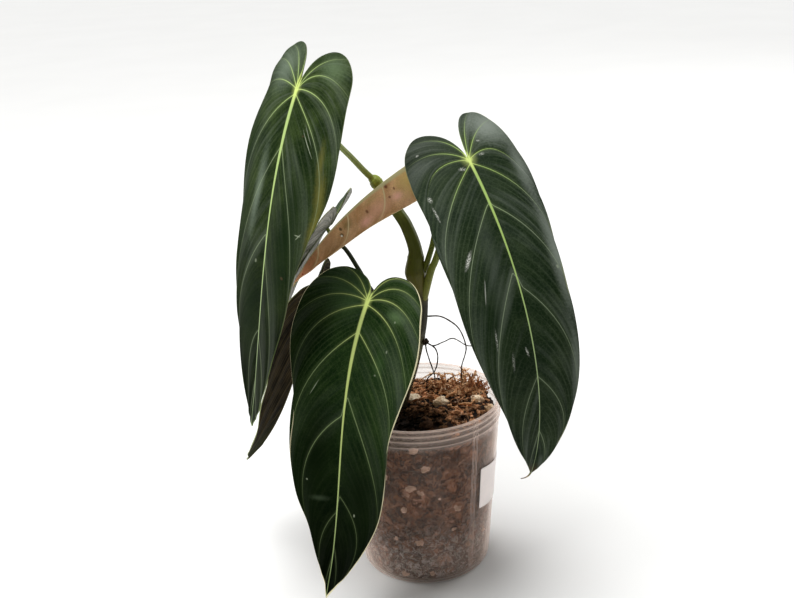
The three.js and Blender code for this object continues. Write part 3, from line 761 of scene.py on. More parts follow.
@dataclass(frozen=True)
class UndersideFinish:
    """Smooth underside of a blade with standing veins."""

    name: str
    dark: Colour
    light: Colour
    vein: Colour
    rib: Colour
    tip: Colour
    vein_strength: float = 0.7
    roughness: float = 0.5
    ior: float = 1.28

    def build(self) -> Material:
        """Material of the face.

        Returns:
            The material.
        """
        shader = Shader(self.name)
        place = BladePlace(shader)
        cloud = shader.noise(place.flat, 9.0, 4.0)
        stripes = shader.noise(shader.scaled(place.vein, (9, 1.2, 1)), 1.0, 4.0, 0.65, 0.4)
        tone = shader.weighed(cloud, 0.35, stripes, 0.65)
        colour = shader.mix(shader.step(tone, 0.4, 0.6), self.dark, self.light)
        colour = shader.mix(shader.step(place.ahead, 0.95, 1.65), colour, self.tip)
        colour = shader.mix(shader.step(place.off_fine_vein, 0.02, 0.18, 0.35, 0), colour, self.vein)
        speck = shader.noise(place.flat, 160.0, 2.0, 0.7)
        colour = shader.mix(shader.step(speck, 0.58, 0.72, 0, 0.3), colour, self.dark)
        line = shader.step(shader.number("vein_mm"), 0.3, 0.9, self.vein_strength, 0)
        colour = shader.mix(line, colour, self.vein)
        rib = shader.step(shader.number("rib_share"), 0.8, 1.25, 1, 0)
        colour = shader.mix(rib, colour, self.rib)
        return shader.done(shader.principled({
            "Base Color": colour,
            "Roughness": self.roughness,
            "IOR": self.ior,
            "Normal": shader.bump(shader.plus(speck, place.off_fine_vein), 0.04),
        }))


@dataclass(frozen=True)
class SkinFinish:
    """Skin of a stem or stalk, running through colours from its foot to its end."""

    name: str
    along: tuple[tuple[float, Colour], ...]
    scar: Colour = (0.05, 0.035, 0.015)
    scars: float = 0.3
    ridges: float = 14.0
    roughness: float = 0.45

    def build(self) -> Material:
        """Material of the skin.

        Returns:
            The material.
        """
        shader = Shader(self.name)
        bark = shader.map_place("Bark")
        place = shader.place()
        colour = shader.ramp(shader.axis(bark, 1), list(self.along))
        stripe = shader.noise(shader.scaled(bark, (self.ridges, 3.0, 1)), 1.0, 4.0, 0.6)
        colour = shader.mix(0.7, colour, shader.tones(stripe, 0.3, 0.6, 0.7, 1.35), "MULTIPLY")
        patch = shader.noise(place, 210, 4.0, 0.7)
        colour = shader.mix(shader.step(patch, 0.56, 0.7, 0, self.scars), colour, self.scar)
        fleck = shader.cells(place, 900)
        colour = shader.mix(shader.step(fleck, 0.1, 0.22, 0.35, 0), colour, self.scar)
        height = shader.plus(stripe, shader.times(patch, 0.6))
        return shader.done(shader.principled({
            "Base Color": colour,
            "Roughness": self.roughness,
            "IOR": 1.3,
            "Normal": shader.bump(height, 0.35),
        }))


# Near-black colour of the painted shadow on the mix.
PAINTED_SHADOW_BLACK = (0.004, 0.003, 0.002)


@dataclass(frozen=True)
class EarthFinish:
    """Rough natural surface of two mixed colours with a third in flecks, darkened by a painted shadow round
    one place.
    """

    name: str
    dark: Colour
    light: Colour
    fleck: Colour
    scale: float = 260.0
    flecks: float = 0.5
    relief: float = 0.5
    # Strength, place and reach of the painted shadow, which stands for the shade of the hanging front leaf.
    painted_shadow_strength: float = 0.0
    painted_shadow_at: tuple[float, float, float] = (-0.023, -0.036, 0.118)
    painted_shadow_reach: float = 0.072
    contrast: float = 0.15

    def build(self) -> Material:
        """Material of the surface.

        Returns:
            The material.
        """
        shader = Shader(self.name)
        place = shader.place()
        broad = shader.noise(place, self.scale * 0.35, 4.0, 0.6)
        fine = shader.noise(place, self.scale * 3, 4.0, 0.7)
        both = shader.weighed(broad, 0.6, fine, 0.4)
        tone = shader.step(both, 0.51 - self.contrast, 0.51 + self.contrast)
        colour = shader.mix(tone, self.dark, self.light)
        spots = shader.cells(place, self.scale * 1.7)
        keep = shader.step(shader.noise(place, self.scale * 0.8, 1.0), 0.52, 0.6)
        share = shader.times(shader.step(spots, 0.15, 0.4, self.flecks, 0), keep)
        colour = shader.mix(share, colour, self.fleck)
        # Painted shadow: the colour goes toward near black round one place.
        if self.painted_shadow_strength:
            off = shader.node("ShaderNodeVectorMath", {0: place, 1: self.painted_shadow_at}, operation="DISTANCE")
            reach = shader.plus(off.outputs["Value"], shader.times(broad, 0.02))
            shadow_share = shader.step(reach, 0.5 * self.painted_shadow_reach, self.painted_shadow_reach, self.painted_shadow_strength, 0)
            colour = shader.mix(shadow_share, colour, PAINTED_SHADOW_BLACK)
        return shader.done(shader.principled({
            "Base Color": colour,
            "Roughness": 0.85,
            "IOR": 1.08,
            "Normal": shader.bump(both, self.relief),
        }))


@dataclass(frozen=True)
class PackedBarkFinish:
    """Bark pieces pressed against the pot, with painted shade in the gaps between them and pale fines near
    the foot.
    """

    name: str = "packed bark"
    pieces: tuple[tuple[float, Colour], ...] = (
        (0.0, (0.012, 0.007, 0.005)), (0.3, (0.06, 0.026, 0.014)), (0.5, (0.15, 0.064, 0.034)),
        (0.7, (0.26, 0.12, 0.07)), (0.86, (0.38, 0.2, 0.14)), (1.0, (0.5, 0.34, 0.26)),
    )
    # Colour of the painted shade between the pieces and on top of the filling.
    gap: Colour = (0.008, 0.006, 0.005)
    fines: Colour = (0.5, 0.47, 0.45)
    unevenness: float = 0.016
    big_grain: float = 85.0
    small_grain: float = 380.0

    def build(self) -> Material:
        """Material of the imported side.

        Returns:
            The material.
        """
        shader = Shader(self.name)
        place = shader.place()
        inputs = {"Vector": place, "Scale": 150.0, "Detail": 4.0}
        push = shader.node("ShaderNodeTexNoise", inputs).outputs["Color"]
        bent = shader.vectors("ADD", {0: push, 1: (-0.5, -0.5, -0.5)})
        bent = shader.vectors("SCALE", {0: bent, "Scale": self.unevenness})
        bent = shader.vectors("ADD", {0: place, 1: bent})
        big = shader.axis(shader.cells(bent, self.big_grain, "Color"), 0)
        small = shader.axis(shader.cells(bent, self.small_grain, "Color"), 1)
        grain = shader.noise(bent, 420.0, 6.0, 0.75)
        broad = shader.noise(place, 28.0, 3.0)
        tone = shader.plus(shader.weighed(big, 0.26, small, 0.28), shader.times(grain, 0.42))
        tone = shader.plus(tone, shader.plus(shader.times(broad, 0.5), -0.25))
        tone = shader.math("MULTIPLY_ADD", tone, 1.4, -0.2)
        colour = shader.ramp(tone, list(self.pieces))
        # Painted shade in the gaps between the bark pieces.
        edge = shader.cells(bent, self.big_grain, feature="DISTANCE_TO_EDGE")
        colour = shader.mix(shader.step(edge, 0.02, 0.2, 0.55, 0), colour, self.gap)
        low = shader.step(shader.axis(place, 2), 0.01, 0.06, 0.9, 0.12)
        crust = shader.step(shader.noise(bent, 330.0, 5.0, 0.75), 0.46, 0.62)
        colour = shader.mix(shader.times(crust, low), colour, self.fines)
        # Painted shade on everything above the side's top, under the rim and under the loose pieces.
        colour = shader.mix(shader.step(shader.axis(place, 2), 0.1135, 0.1155, 0, 0.85), colour, self.gap)
        return shader.done(shader.principled({
            "Base Color": colour,
            "Roughness": 0.9,
            "Specular IOR Level": 0.2,
            "Normal": shader.bump(tone, 1.5),
        }))


@dataclass(frozen=True)
class HazyPlasticFinish:
    """Thin clear plastic with a milky haze."""

    name: str = "hazy plastic"
    # Milky haze of the plastic; its warm tint is painted warm reflected light.
    haze: Colour = (0.95, 0.75, 0.65)
    wall_haze: float = 0.03
    foot_haze: float = 0.05
    edge_haze: float = 0.42
    rim_gloss: float = 0.85
    most: float = 0.9
    seam_angle: float = 40.4
    seam_half_width: float = 0.027
    seam_haze: float = 0.4

    def build(self) -> Material:
        """Material of the plastic.

        Returns:
            The material.
        """
        shader = Shader(self.name)
        place = shader.place()
        low = shader.step(shader.axis(place, 2), 0.002, 0.05, self.foot_haze, 0)
        edge = shader.times(shader.number("haze"), self.edge_haze)
        smear = shader.noise(shader.scaled(place, (1, 1, 0.3)), 60, 4.0, 0.6)
        cloud = shader.step(smear, 0.3, 0.8, 0.3 * self.wall_haze, 1.7 * self.wall_haze)
        dust = shader.step(shader.noise(place, 900, 2.0, 0.6), 0.6, 0.75, 0, 0.05)
        share = shader.plus(shader.plus(low, edge), shader.plus(cloud, dust))
        back = shader.times(shader.axis(place, 1), -1)
        angle = shader.math("ARCTAN2", shader.axis(place, 0), back)
        off_seam = shader.apart(angle, math.radians(self.seam_angle))
        off_line = shader.apart(off_seam, self.seam_half_width)
        share = shader.plus(share, shader.step(off_line, 0.0, 0.008, self.seam_haze, 0))
        scuff = shader.noise(shader.scaled(place, (1, 1, 0.1)), 340, 3.0, 0.6)
        body = shader.principled({
            "Base Color": self.haze,
            "Roughness": shader.step(scuff, 0.35, 0.7, 0.2, 0.38),
            "Specular IOR Level": 0.5,
            "Normal": shader.bump(smear, 0.25),
        })
        clear = shader.node("ShaderNodeBsdfTransparent", {0: (0.97, 0.955, 0.94)}).outputs[0]
        facing = shader.node("ShaderNodeLayerWeight", {"Blend": 0.5}).outputs["Facing"]
        gloss = shader.math("POWER", facing, 4.0)
        share = shader.plus(share, shader.times(gloss, self.rim_gloss))
        share = shader.math("MINIMUM", share, self.most)
        return shader.done(shader.node("ShaderNodeMixShader", {0: share, 1: clear, 2: body}).outputs[0])


@dataclass(frozen=True)
class PaperFinish:
    """Bare coated paper."""

    name: str = "label paper"
    # Both paper colours carry a pinkish warmth that is painted warm reflected light on white paper.
    white: Colour = (0.96, 0.86, 0.82)
    grey: Colour = (0.88, 0.8, 0.77)

    def build(self) -> Material:
        """Material of the paper.

        Returns:
            The material.
        """
        shader = Shader(self.name)
        place = shader.place()
        fibre = shader.noise(place, 1600, 3.0, 0.6)
        cloud = shader.noise(place, 90, 2.0)
        tone = shader.step(shader.plus(fibre, cloud), 0.7, 1.35)
        colour = shader.mix(tone, self.grey, self.white)
        return shader.done(shader.principled({
            "Base Color": colour,
            "Roughness": 0.5,
            "Normal": shader.bump(fibre, 0.04),
        }))


# The plant's pieces


def dress(piece: Piece, nodes: list[str], materials: list[Material]) -> None:
    """Gives a finished piece its materials and its place in the frame, and reports it.

    Args:
        piece: The finished object.
        nodes: CAD nodes that it stands for.
        materials: Materials in the order of the face numbers.
    """
    for material in materials:
        piece.data.materials.append(material)
    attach(piece, "root")
    for node in nodes:
        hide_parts(node)
    log.info("%s: %d faces", piece.name, len(piece.data.polygons))


LOBE_OUTLINE = [(0, 0), (0.1, 0.42), (0.3, 0.92), (0.58, 0.98), (0.83, 0.55)]
POINTED_LOBE = [(0, 0), (0.14, 0.5), (0.27, 0.95), (0.42, 1.06), (0.74, 0.62)]
SIDE_STATIONS = [0.02, 0.14, 0.28, 0.42, 0.56, 0.69, 0.8, 0.89, 0.95, 1]
PLAIN_SIDE = [0.97, 1, 0.93, 0.84, 0.74, 0.6, 0.42, 0.22, 0.075, 0]
NEW_LEAF_SIDE = [1.12, 1.16, 1.05, 0.91, 0.78, 0.61, 0.42, 0.22, 0.075, 0]
FOURTH_VEIN = 0.012
VEIN_BULGE = 0.65
VEIN_ROWS = 9
BLADE_THICKNESS = 0.8
VEIN_PUFF = 0.8
MIDRIB_HEIGHT = 0.7
MIDRIB_HALF_WIDTH = 1.8
MARGIN_WAVE = 0.8
MARGIN_WAVES = 2.5
LOBE_ONSET = 0.15
LOBE_REACH = 0.12
LOBE_MOST = 1.5
NEAR_MIDRIB = 0.2
STALK_ENTRY = 4.0
STALK_RISE = 9.0
STALK_LEAN = 3.0
STALK_DEPTH = 0.9
STEPS_AHEAD = 200
STEPS_BEHIND = 70
STEPS_BESIDE_VEIN = [0, 0.012, 0.028, 0.05, 0.085, 0.13, 0.19, 0.26, 0.34, 0.42, 0.5]
COLUMN_SHARES = [
    0, 0.005, 0.01, 0.016, 0.023, 0.032, 0.045, 0.065, 0.095, 0.135, 0.18, 0.23, 0.29, 0.35, 0.41, 0.47,
    0.53, 0.59, 0.65, 0.71, 0.77, 0.82, 0.87, 0.91, 0.945, 0.97, 0.985, 0.994, 1,
]


@dataclass(frozen=True)
class Veins:
    """Main veins of one half: origins of the laterals, ends on the outline and starting angles."""

    laterals: tuple[float, ...] = (0.13, 0.38, 0.69)
    ends: tuple[float, ...] = (3.1, 4.2, 5.7, 7.2, 9, 10.9, 12.6)
    angles: tuple[float, ...] = (22, 45, 73, 117, 136, 141, 135)

    def rows(self) -> tuple[list[float], list[float], list[float]]:
        """Origins, ends and angles of all rows from the notch's edge to the tip.

        Returns:
            Three lists of the same length.
        """
        last_end = len(LOBE_OUTLINE) + len(SIDE_STATIONS) - 1
        origins = [0, 0, 0, 0, FOURTH_VEIN, *self.laterals, (self.laterals[2] + 1) / 2, 1]
        ends = [2, *self.ends, (self.ends[6] + last_end) / 2, last_end]
        angles = [4, *self.angles, (self.angles[6] + 150) / 2, 150]
        return origins, ends, angles


NEW_LEAF_VEINS = Veins(
    laterals=(0.24, 0.48, 0.72), ends=(2.9, 3.8, 4.8, 5.8, 7.8, 10, 12.2),
    angles=(20, 45, 70, 88, 105, 118, 128),
)


@dataclass(frozen=True)
class LeafHalf:
    """One half of a blade. Angles are degrees at the notch and at the tip."""

    side: int
    width: float
    lobe: float
    fold: tuple[float, float]
    arch: tuple[float, float]
    lobe_arch: float = 0.0
    outline: tuple[float, ...] | list[float] = field(default_factory=lambda: PLAIN_SIDE)
    lobe_outline: list = field(default_factory=lambda: LOBE_OUTLINE)
    veins: Veins = field(default_factory=Veins)


@dataclass(frozen=True)
class Bent:
    """Places on a bent blade with their outward directions."""

    points: Numbers
    normals: Numbers


@dataclass(frozen=True)
class Leaf:
    """Blade of one leaf.

    heading turns from the front toward the right, droop is the midrib's slope at the notch, sag and sway are
    its bend down and sideways over the leaf's length, roll and twist turn the blade about its midrib, and
    lobe_lift bends the lobes.
    """

    name: str
    notch: tuple[float, float, float]
    length: float
    heading: float
    droop: float
    sag: tuple[float, float]
    sway: tuple[float, float]
    roll: float
    twist: float
    lobe_lift: float
    halves: tuple[LeafHalf, LeafHalf]
    slot: Slot
    upper: VelvetFinish
    lower: UndersideFinish
    drip_tip: tuple = ()

    def directions(self, distance: Numbers) -> tuple[Numbers, Numbers, Numbers]:
        """Directions along, up and across at distances from the notch.

        Args:
            distance: Distances, negative on the lobes.

        Returns:
            Three directions of length 1 per distance.
        """
        share = distance / self.length
        ahead = np.maximum(share, 0)
        lift = self.lobe_lift * np.minimum(share, 0)
        droop = np.radians(self.droop + self.sag[0] * ahead + self.sag[1] * ahead**2 + lift)[:, None]
        heading = np.radians(self.heading + self.sway[0] * ahead + self.sway[1] * ahead**2)
        roll = np.radians(self.roll + self.twist * ahead)[:, None]
        outward = np.stack([np.sin(heading), -np.cos(heading), 0 * heading], 1)
        upward = np.array([0, 0, 1.0])
        along = np.cos(droop) * outward - np.sin(droop) * upward
        plain_up = np.sin(droop) * outward + np.cos(droop) * upward
        plain_across = np.cross(plain_up, along)
        up = np.cos(roll) * plain_up + np.sin(roll) * plain_across
        across = np.cos(roll) * plain_across - np.sin(roll) * plain_up
        return along, up, across

    def centres(self, distance: Numbers) -> Numbers:
        """Points of the midrib at distances from the notch.

        Args:
            distance: Distances, negative on the lobes.

        Returns:
            One point per distance.
        """
        step = self.length / STEPS_AHEAD
        middles = (np.arange(-STEPS_BEHIND, STEPS_AHEAD) + 0.5) * step
        walked = np.vstack([np.zeros(3), np.cumsum(self.directions(middles)[0] * step, axis=0)])
        walked += np.array(self.notch) - walked[STEPS_BEHIND]
        stations = np.arange(-STEPS_BEHIND, STEPS_AHEAD + 1) * step
        return np.stack([np.interp(distance, stations, walked[:, k]) for k in range(3)], 1)

    def flat(self, half: LeafHalf, row: Numbers, share: Numbers) -> Numbers:
        """Flat points of one half.

        Args:
            half: The half.
            row: Veins counted from the notch to the tip.
            share: Way from the midrib to the margin, 0 to 1.

        Returns:
            Distance from the midrib and distance ahead of the notch.
        """
        origins, ends, angles = half.veins.rows()
        both = [between(each.veins.rows()[0], row) for each in self.halves]
        shared = (both[0] + both[1]) / 2
        own = ease(share, 0, 0.03)
        origin = ((1 - own) * shared + own * between(origins, row)) * self.length
        lobe = [(across * half.width, -back * half.lobe) for across, back in half.lobe_outline]
        side = [(wide * half.width, far * self.length) for wide, far in zip(half.outline, SIDE_STATIONS)]
        end = smooth_at([*lobe, *side], between(ends, row))
        angle = np.radians(between(angles, row))
        reach = VEIN_BULGE * np.hypot(end[:, 0], end[:, 1] - origin)
        bend_x = reach * np.sin(angle) * np.minimum(1, end[:, 0] / (NEAR_MIDRIB * half.width))
        bend_y = origin - reach * np.cos(angle)
        rest = 1 - share
        x = 2 * rest * share * bend_x + share**2 * end[:, 0]
        y = rest**2 * origin + 2 * rest * share * bend_y + share**2 * end[:, 1]
        return np.stack([x, y], 1)

    def bent(self, half: LeafHalf, flat: Numbers) -> Bent:
        """Bent places of flat points.

        Args:
            half: The half.
            flat: Flat points.

        Returns:
            Points on the blade's middle and their directions.
        """
        x, y = flat[:, 0], flat[:, 1]
        _, up, across = self.directions(y)
        ahead = np.clip(y / self.length, 0, 1)
        behind = -y / self.length / LOBE_REACH
        lobe_share = np.minimum(LOBE_ONSET * np.logaddexp(0, behind / LOBE_ONSET), LOBE_MOST)
        fold = np.radians(half.fold[0] + (half.fold[1] - half.fold[0]) * ahead)
        arch = np.radians(half.arch[0] + (half.arch[1] - half.arch[0]) * ahead + half.lobe_arch * lobe_share)
        arch = np.where(np.abs(arch) < 1e-4, 1e-4, arch)
        slope = fold - arch * x / half.width
        reach = half.width / arch * (np.sin(fold) - np.sin(slope))
        rise = half.width / arch * (np.cos(slope) - np.cos(fold))
        points = self.centres(y) + half.side * reach[:, None] * across + rise[:, None] * up
        facing = slope * ease(x, 0, 3.0)
        normals = np.cos(facing)[:, None] * up - half.side * np.sin(facing)[:, None] * across
        return Bent(points, normals)

    def mesh(self, half: LeafHalf, face: Face) -> Mesh:
        """Mesh of one face of one half, with its distances from veins, midrib and margin.

        Args:
            half: The half.
            face: The face.

        Returns:
            The mesh, in metres.
        """
        beside = STEPS_BESIDE_VEIN
        panel = np.array([*beside[:-1], *(1 - np.array(beside[::-1]))])[:-1]
        row_stops = np.append((np.arange(VEIN_ROWS)[:, None] + panel).ravel(), VEIN_ROWS)
        row_stops = np.sort(np.append(row_stops, [0.004]))
        rows, columns = len(row_stops) - 1, len(COLUMN_SHARES) - 1

        def shape(u: Numbers, v: Numbers) -> Shaped:
            """Places of the face and what its finish reads.

            Args:
                u: Column, from the midrib out.
                v: Row, from the notch to the tip.

            Returns:
                The points with their maps and numbers.
            """
            row = row_stops[np.rint(v * rows).astype(int)]
            share = np.array(COLUMN_SHARES)[np.rint(u * columns).astype(int)]
            flat = self.flat(half, row, share)
            bent = self.bent(half, flat)
            ahead = np.clip(flat[:, 1] / self.length, 0, 1)
            spread = self.spread(half, row, share)
            vein_mm = np.abs(row - np.rint(row)) * spread
            edge_mm = np.linalg.norm(flat - self.flat(half, row, np.ones_like(share)), axis=1)
            fade = np.sqrt(np.sin(math.pi * np.clip(row / VEIN_ROWS, 0, 1)))
            wave = np.abs(np.sin(math.pi * row))
            rise = np.where(share < 1, np.minimum(1, share / 0.25), 0.4)
            puff = VEIN_PUFF * (0.6 * wave**2 + 0.4 * wave) * rise
            ripple = MARGIN_WAVE * share**3 * np.sin(MARGIN_WAVES * 2 * math.pi * ahead + half.side)
            rib_width = MIDRIB_HALF_WIDTH * (1 - 0.78 * ahead)
            rib_share = flat[:, 0] / rib_width
            rib = MIDRIB_HEIGHT * (1.15 - ahead) * np.exp(-rib_share**2 * 1.2)
            full = round_end(edge_mm, 0.7) * round_end(row * (spread + 3), 0.7)
            height = BLADE_THICKNESS / 2 * full
            if face is Face.UPPER:
                height = height + 0.6 * rib * full
            else:
                veins = 0.4 * np.exp(-(vein_mm / 0.7) ** 2) * (1 - share) ** 0.5 * ease(share, 0, 0.05)
                height = height + (rib + veins) * full
            lift = (puff + ripple) * fade + face.value * height
            maps = {
                "Flat": np.stack([half.side * flat[:, 0], flat[:, 1]], 1) / UV_UNIT,
                "Vein": np.stack([row + 20 * (half.side > 0), share], 1),
            }
            numbers = {"vein_mm": vein_mm, "edge_mm": edge_mm, "rib_share": rib_share}
            return Shaped(bent.points + lift[:, None] * bent.normals, maps, numbers)

        made = grid_mesh(columns, rows, shape, outward=False)
        set_material_number(made, 0 if face is Face.UPPER else 1)
        return made

    def spread(self, half: LeafHalf, row: Numbers, share: Numbers) -> Numbers:
        """Millimetres between neighbouring veins, straight across them.

        Args:
            half: The half.
            row: Veins counted from the notch.
            share: Way to the margin.

        Returns:
            Distance per point.
        """
        small = 1e-3
        next_row = np.where(row - np.floor(row) > 0.5, row - small, row + small)
        here = self.flat(half, row, share)
        beside = (self.flat(half, next_row, share) - here) / small
        outer = np.clip(share + small, 0, 1)
        inner = np.clip(share - small, 0, 1)
        way = unit(self.flat(half, row, outer) - self.flat(half, row, inner))
        return np.abs(beside[:, 0] * way[:, 1] - beside[:, 1] * way[:, 0])

    def build(self) -> None:
        """Closed blade with its two faces."""
        faces = [self.mesh(half, face) for half in self.halves for face in Face]
        materials = [self.upper.build(), self.lower.build()]
        if self.drip_tip:
            tip = self.centres(np.array([self.length - 1.2]))[0]
            path = [tip + offset for offset in self.drip_tip]
            curl = Rod(path, [0.7, 0.45, 0.25], sides=10, steps_per_point=5).mesh()
            set_material_number(curl, 2)
            faces.append(curl)
            materials.append(DRY_TIP.build())
        piece = joined(f"leaf_{self.name}", faces, weld=0.02)
        dress(piece, [f"blade_{self.name}"], materials)

    def stalk_end(self) -> list[Numbers]:
        """Last two points of the stalk, which ends inside the blade just ahead of the notch.

        Returns:
            The two points.
        """
        distance = np.array([STALK_ENTRY])
        centre = self.centres(distance)[0]
        along, up, _ = (each[0] for each in self.directions(distance))
        return [centre - STALK_RISE * up + STALK_LEAN * along, centre - STALK_DEPTH * up]


@dataclass(frozen=True)
class Stalk:
    """Stalk of one leaf, from the stem to the blade."""

    leaf: Leaf
    path: tuple
    radii: tuple[float, ...]
    slot: Slot
    finish: SkinFinish
    sheath: float = 0.0

    def build(self) -> None:
        """Stalk with a shallow groove and, on a young shoot, a sheath's raised edge."""

        def relief(u: Numbers, v: Numbers) -> Numbers:
            """Height of groove and ridges over the round section.

            Args:
                u: Way round.
                v: Way along.

            Returns:
                Millimetres over the section.
            """
            groove = -0.12 * np.exp(-((u - 0.5) / 0.07) ** 2)
            ridges = 0.04 * np.sin(2 * math.pi * 9 * u + 5 * v)
            edge = self.sheath * np.exp(-((u - 0.25 - 0.1 * v) / 0.03) ** 2) * ease(0.75 - v, 0, 0.4)
            return groove + ridges + edge

        path = [*self.path, *self.leaf.stalk_end()]
        skin = Rod(path, list(self.radii), sides=28, steps_per_point=14, relief=relief).mesh()
        piece = joined(f"stalk_{self.leaf.name}", [skin])
        dress(piece, [f"petiole_{self.leaf.name}"], [self.finish.build()])


@dataclass(frozen=True)
class Stem:
    """Stem from the mix up to the node that carries the left leaf."""

    path: tuple = (
        (-16, 8, 98), (-13, 8, 122), (-4, 7, 152), (2.3, 5, 178), (4.6, 5, 195), (4.2, 5, 211), (1.7, 5, 225),
        (2.5, 5.5, 241), (-2.4, 9, 257.5), (-8, 14, 267), (-16.5, 21, 279), (-23, 25, 288),
        (-25.6, 25.4, 290.6),
    )
    radii: tuple[float, ...] = (4, 4.4, 4.6, 4.6, 4.9, 5.7, 7.5, 4.9, 4.4, 4.3, 4.2, 4.5, 2.8)
    rings: tuple[float, ...] = (0.24, 0.38, 0.56, 0.9)
    finish: SkinFinish = SkinFinish(
        "stem skin",
        (
            (0.0, (0.03, 0.018, 0.008)), (0.22, (0.1, 0.09, 0.045)), (0.27, (0.022, 0.018, 0.006)),
            (0.36, (0.02, 0.017, 0.006)), (0.44, (0.13, 0.11, 0.018)), (0.52, (0.08, 0.085, 0.01)),
            (0.75, (0.085, 0.105, 0.013)), (0.93, (0.26, 0.31, 0.045)),
        ),
        scars=0.35,
    )

    def build(self) -> None:
        """Stem with rings at its nodes and fine ridges."""

        def relief(u: Numbers, v: Numbers) -> Numbers:
            """Height of rings and ridges over the round section.

            Args:
                u: Way round.
                v: Way along.

            Returns:
                Millimetres over the section.
            """
            coarse = 0.12 * np.sin(2 * math.pi * 7 * u + 9 * v)
            fine = 0.06 * np.sin(2 * math.pi * 17 * u - 6 * v)
            rings = sum(0.35 * np.exp(-((v - at) / 0.006) ** 2) for at in self.rings)
            return coarse + fine + rings

        rod = Rod(list(self.path), list(self.radii), sides=48, steps_per_point=16, relief=relief)
        piece = joined("stem_skin", [rod.mesh()])
        dress(piece, ["stem"], [self.finish.build()])


@dataclass(frozen=True)
class AerialRoots:
    """Dry knot by the stem and four thin roots grown together where they cross."""

    knot_at: tuple[float, float, float] = (6.6, 1.5, 172.6)
    knot_radius: float = 2.6
    crossing: tuple[float, float, float] = (36, 6, 166.5)
    finish: EarthFinish = EarthFinish(
        "root skin", (0.012, 0.009, 0.007), (0.06, 0.042, 0.03), (0.12, 0.09, 0.06), scale=500,
        flecks=0.4, relief=0.15,
    )

    def paths(self) -> list[tuple[list, float]]:
        """Paths of the roots with their radii.

        Returns:
            Each path with its radius.
        """
        knot, crossing = self.knot_at, self.crossing
        right = [
            (8.4, 4, 191.5), (17.5, 4, 191), (25.5, 4, 186.5), (32, 5, 179), crossing, (35.5, 9, 158),
            (32.6, 13, 145), (33.6, 18, 126), (34.5, 20, 108),
        ]
        level = [knot, (12, 0, 170), (19.5, 1, 172), (27, 3, 173.5), crossing, (42, 11, 163), (49, 16, 157)]
        left = [knot, (7, 5, 165), (9.5, 13, 152), (12.5, 22, 138), (13.3, 27, 127), (13.8, 28, 110)]
        bowed = [
            knot, (13.4, 3, 166.5), (15.2, 8, 156), (12.7, 15, 143), (7.6, 21, 135), (6.6, 24, 126),
            (7, 25, 110),
        ]
        return [(right, 0.75), (level, 0.62), (left, 0.72), (bowed, 0.72)]

    def build(self) -> None:
        """Knot and roots as one piece."""
        meshes = []
        for number, (path, radius) in enumerate(self.paths()):

            def relief(u: Numbers, v: Numbers) -> Numbers:
                """Uneven thickness with small swellings."""
                swell = np.sin(37 * v + number) * np.sin(61 * v + 2 * number)
                return 0.07 * swell + 0.03 * np.sin(2 * math.pi * 3 * u + 40 * v)

            radii = [0.75 * radius, 0.55 * radius]
            meshes.append(Rod(path, radii, sides=12, steps_per_point=18, relief=relief).mesh())
        size = (0.8 * self.knot_radius, 0.7 * self.knot_radius, self.knot_radius)
        meshes.append(Lump(self.knot_at, size, seed=3, unevenness=0.7, subdivisions=4, pits=0.3).mesh())
        piece = joined("roots_aerial", meshes)
        dress(piece, ["aerial_roots"], [self.finish.build()])


# Pot and what is in it


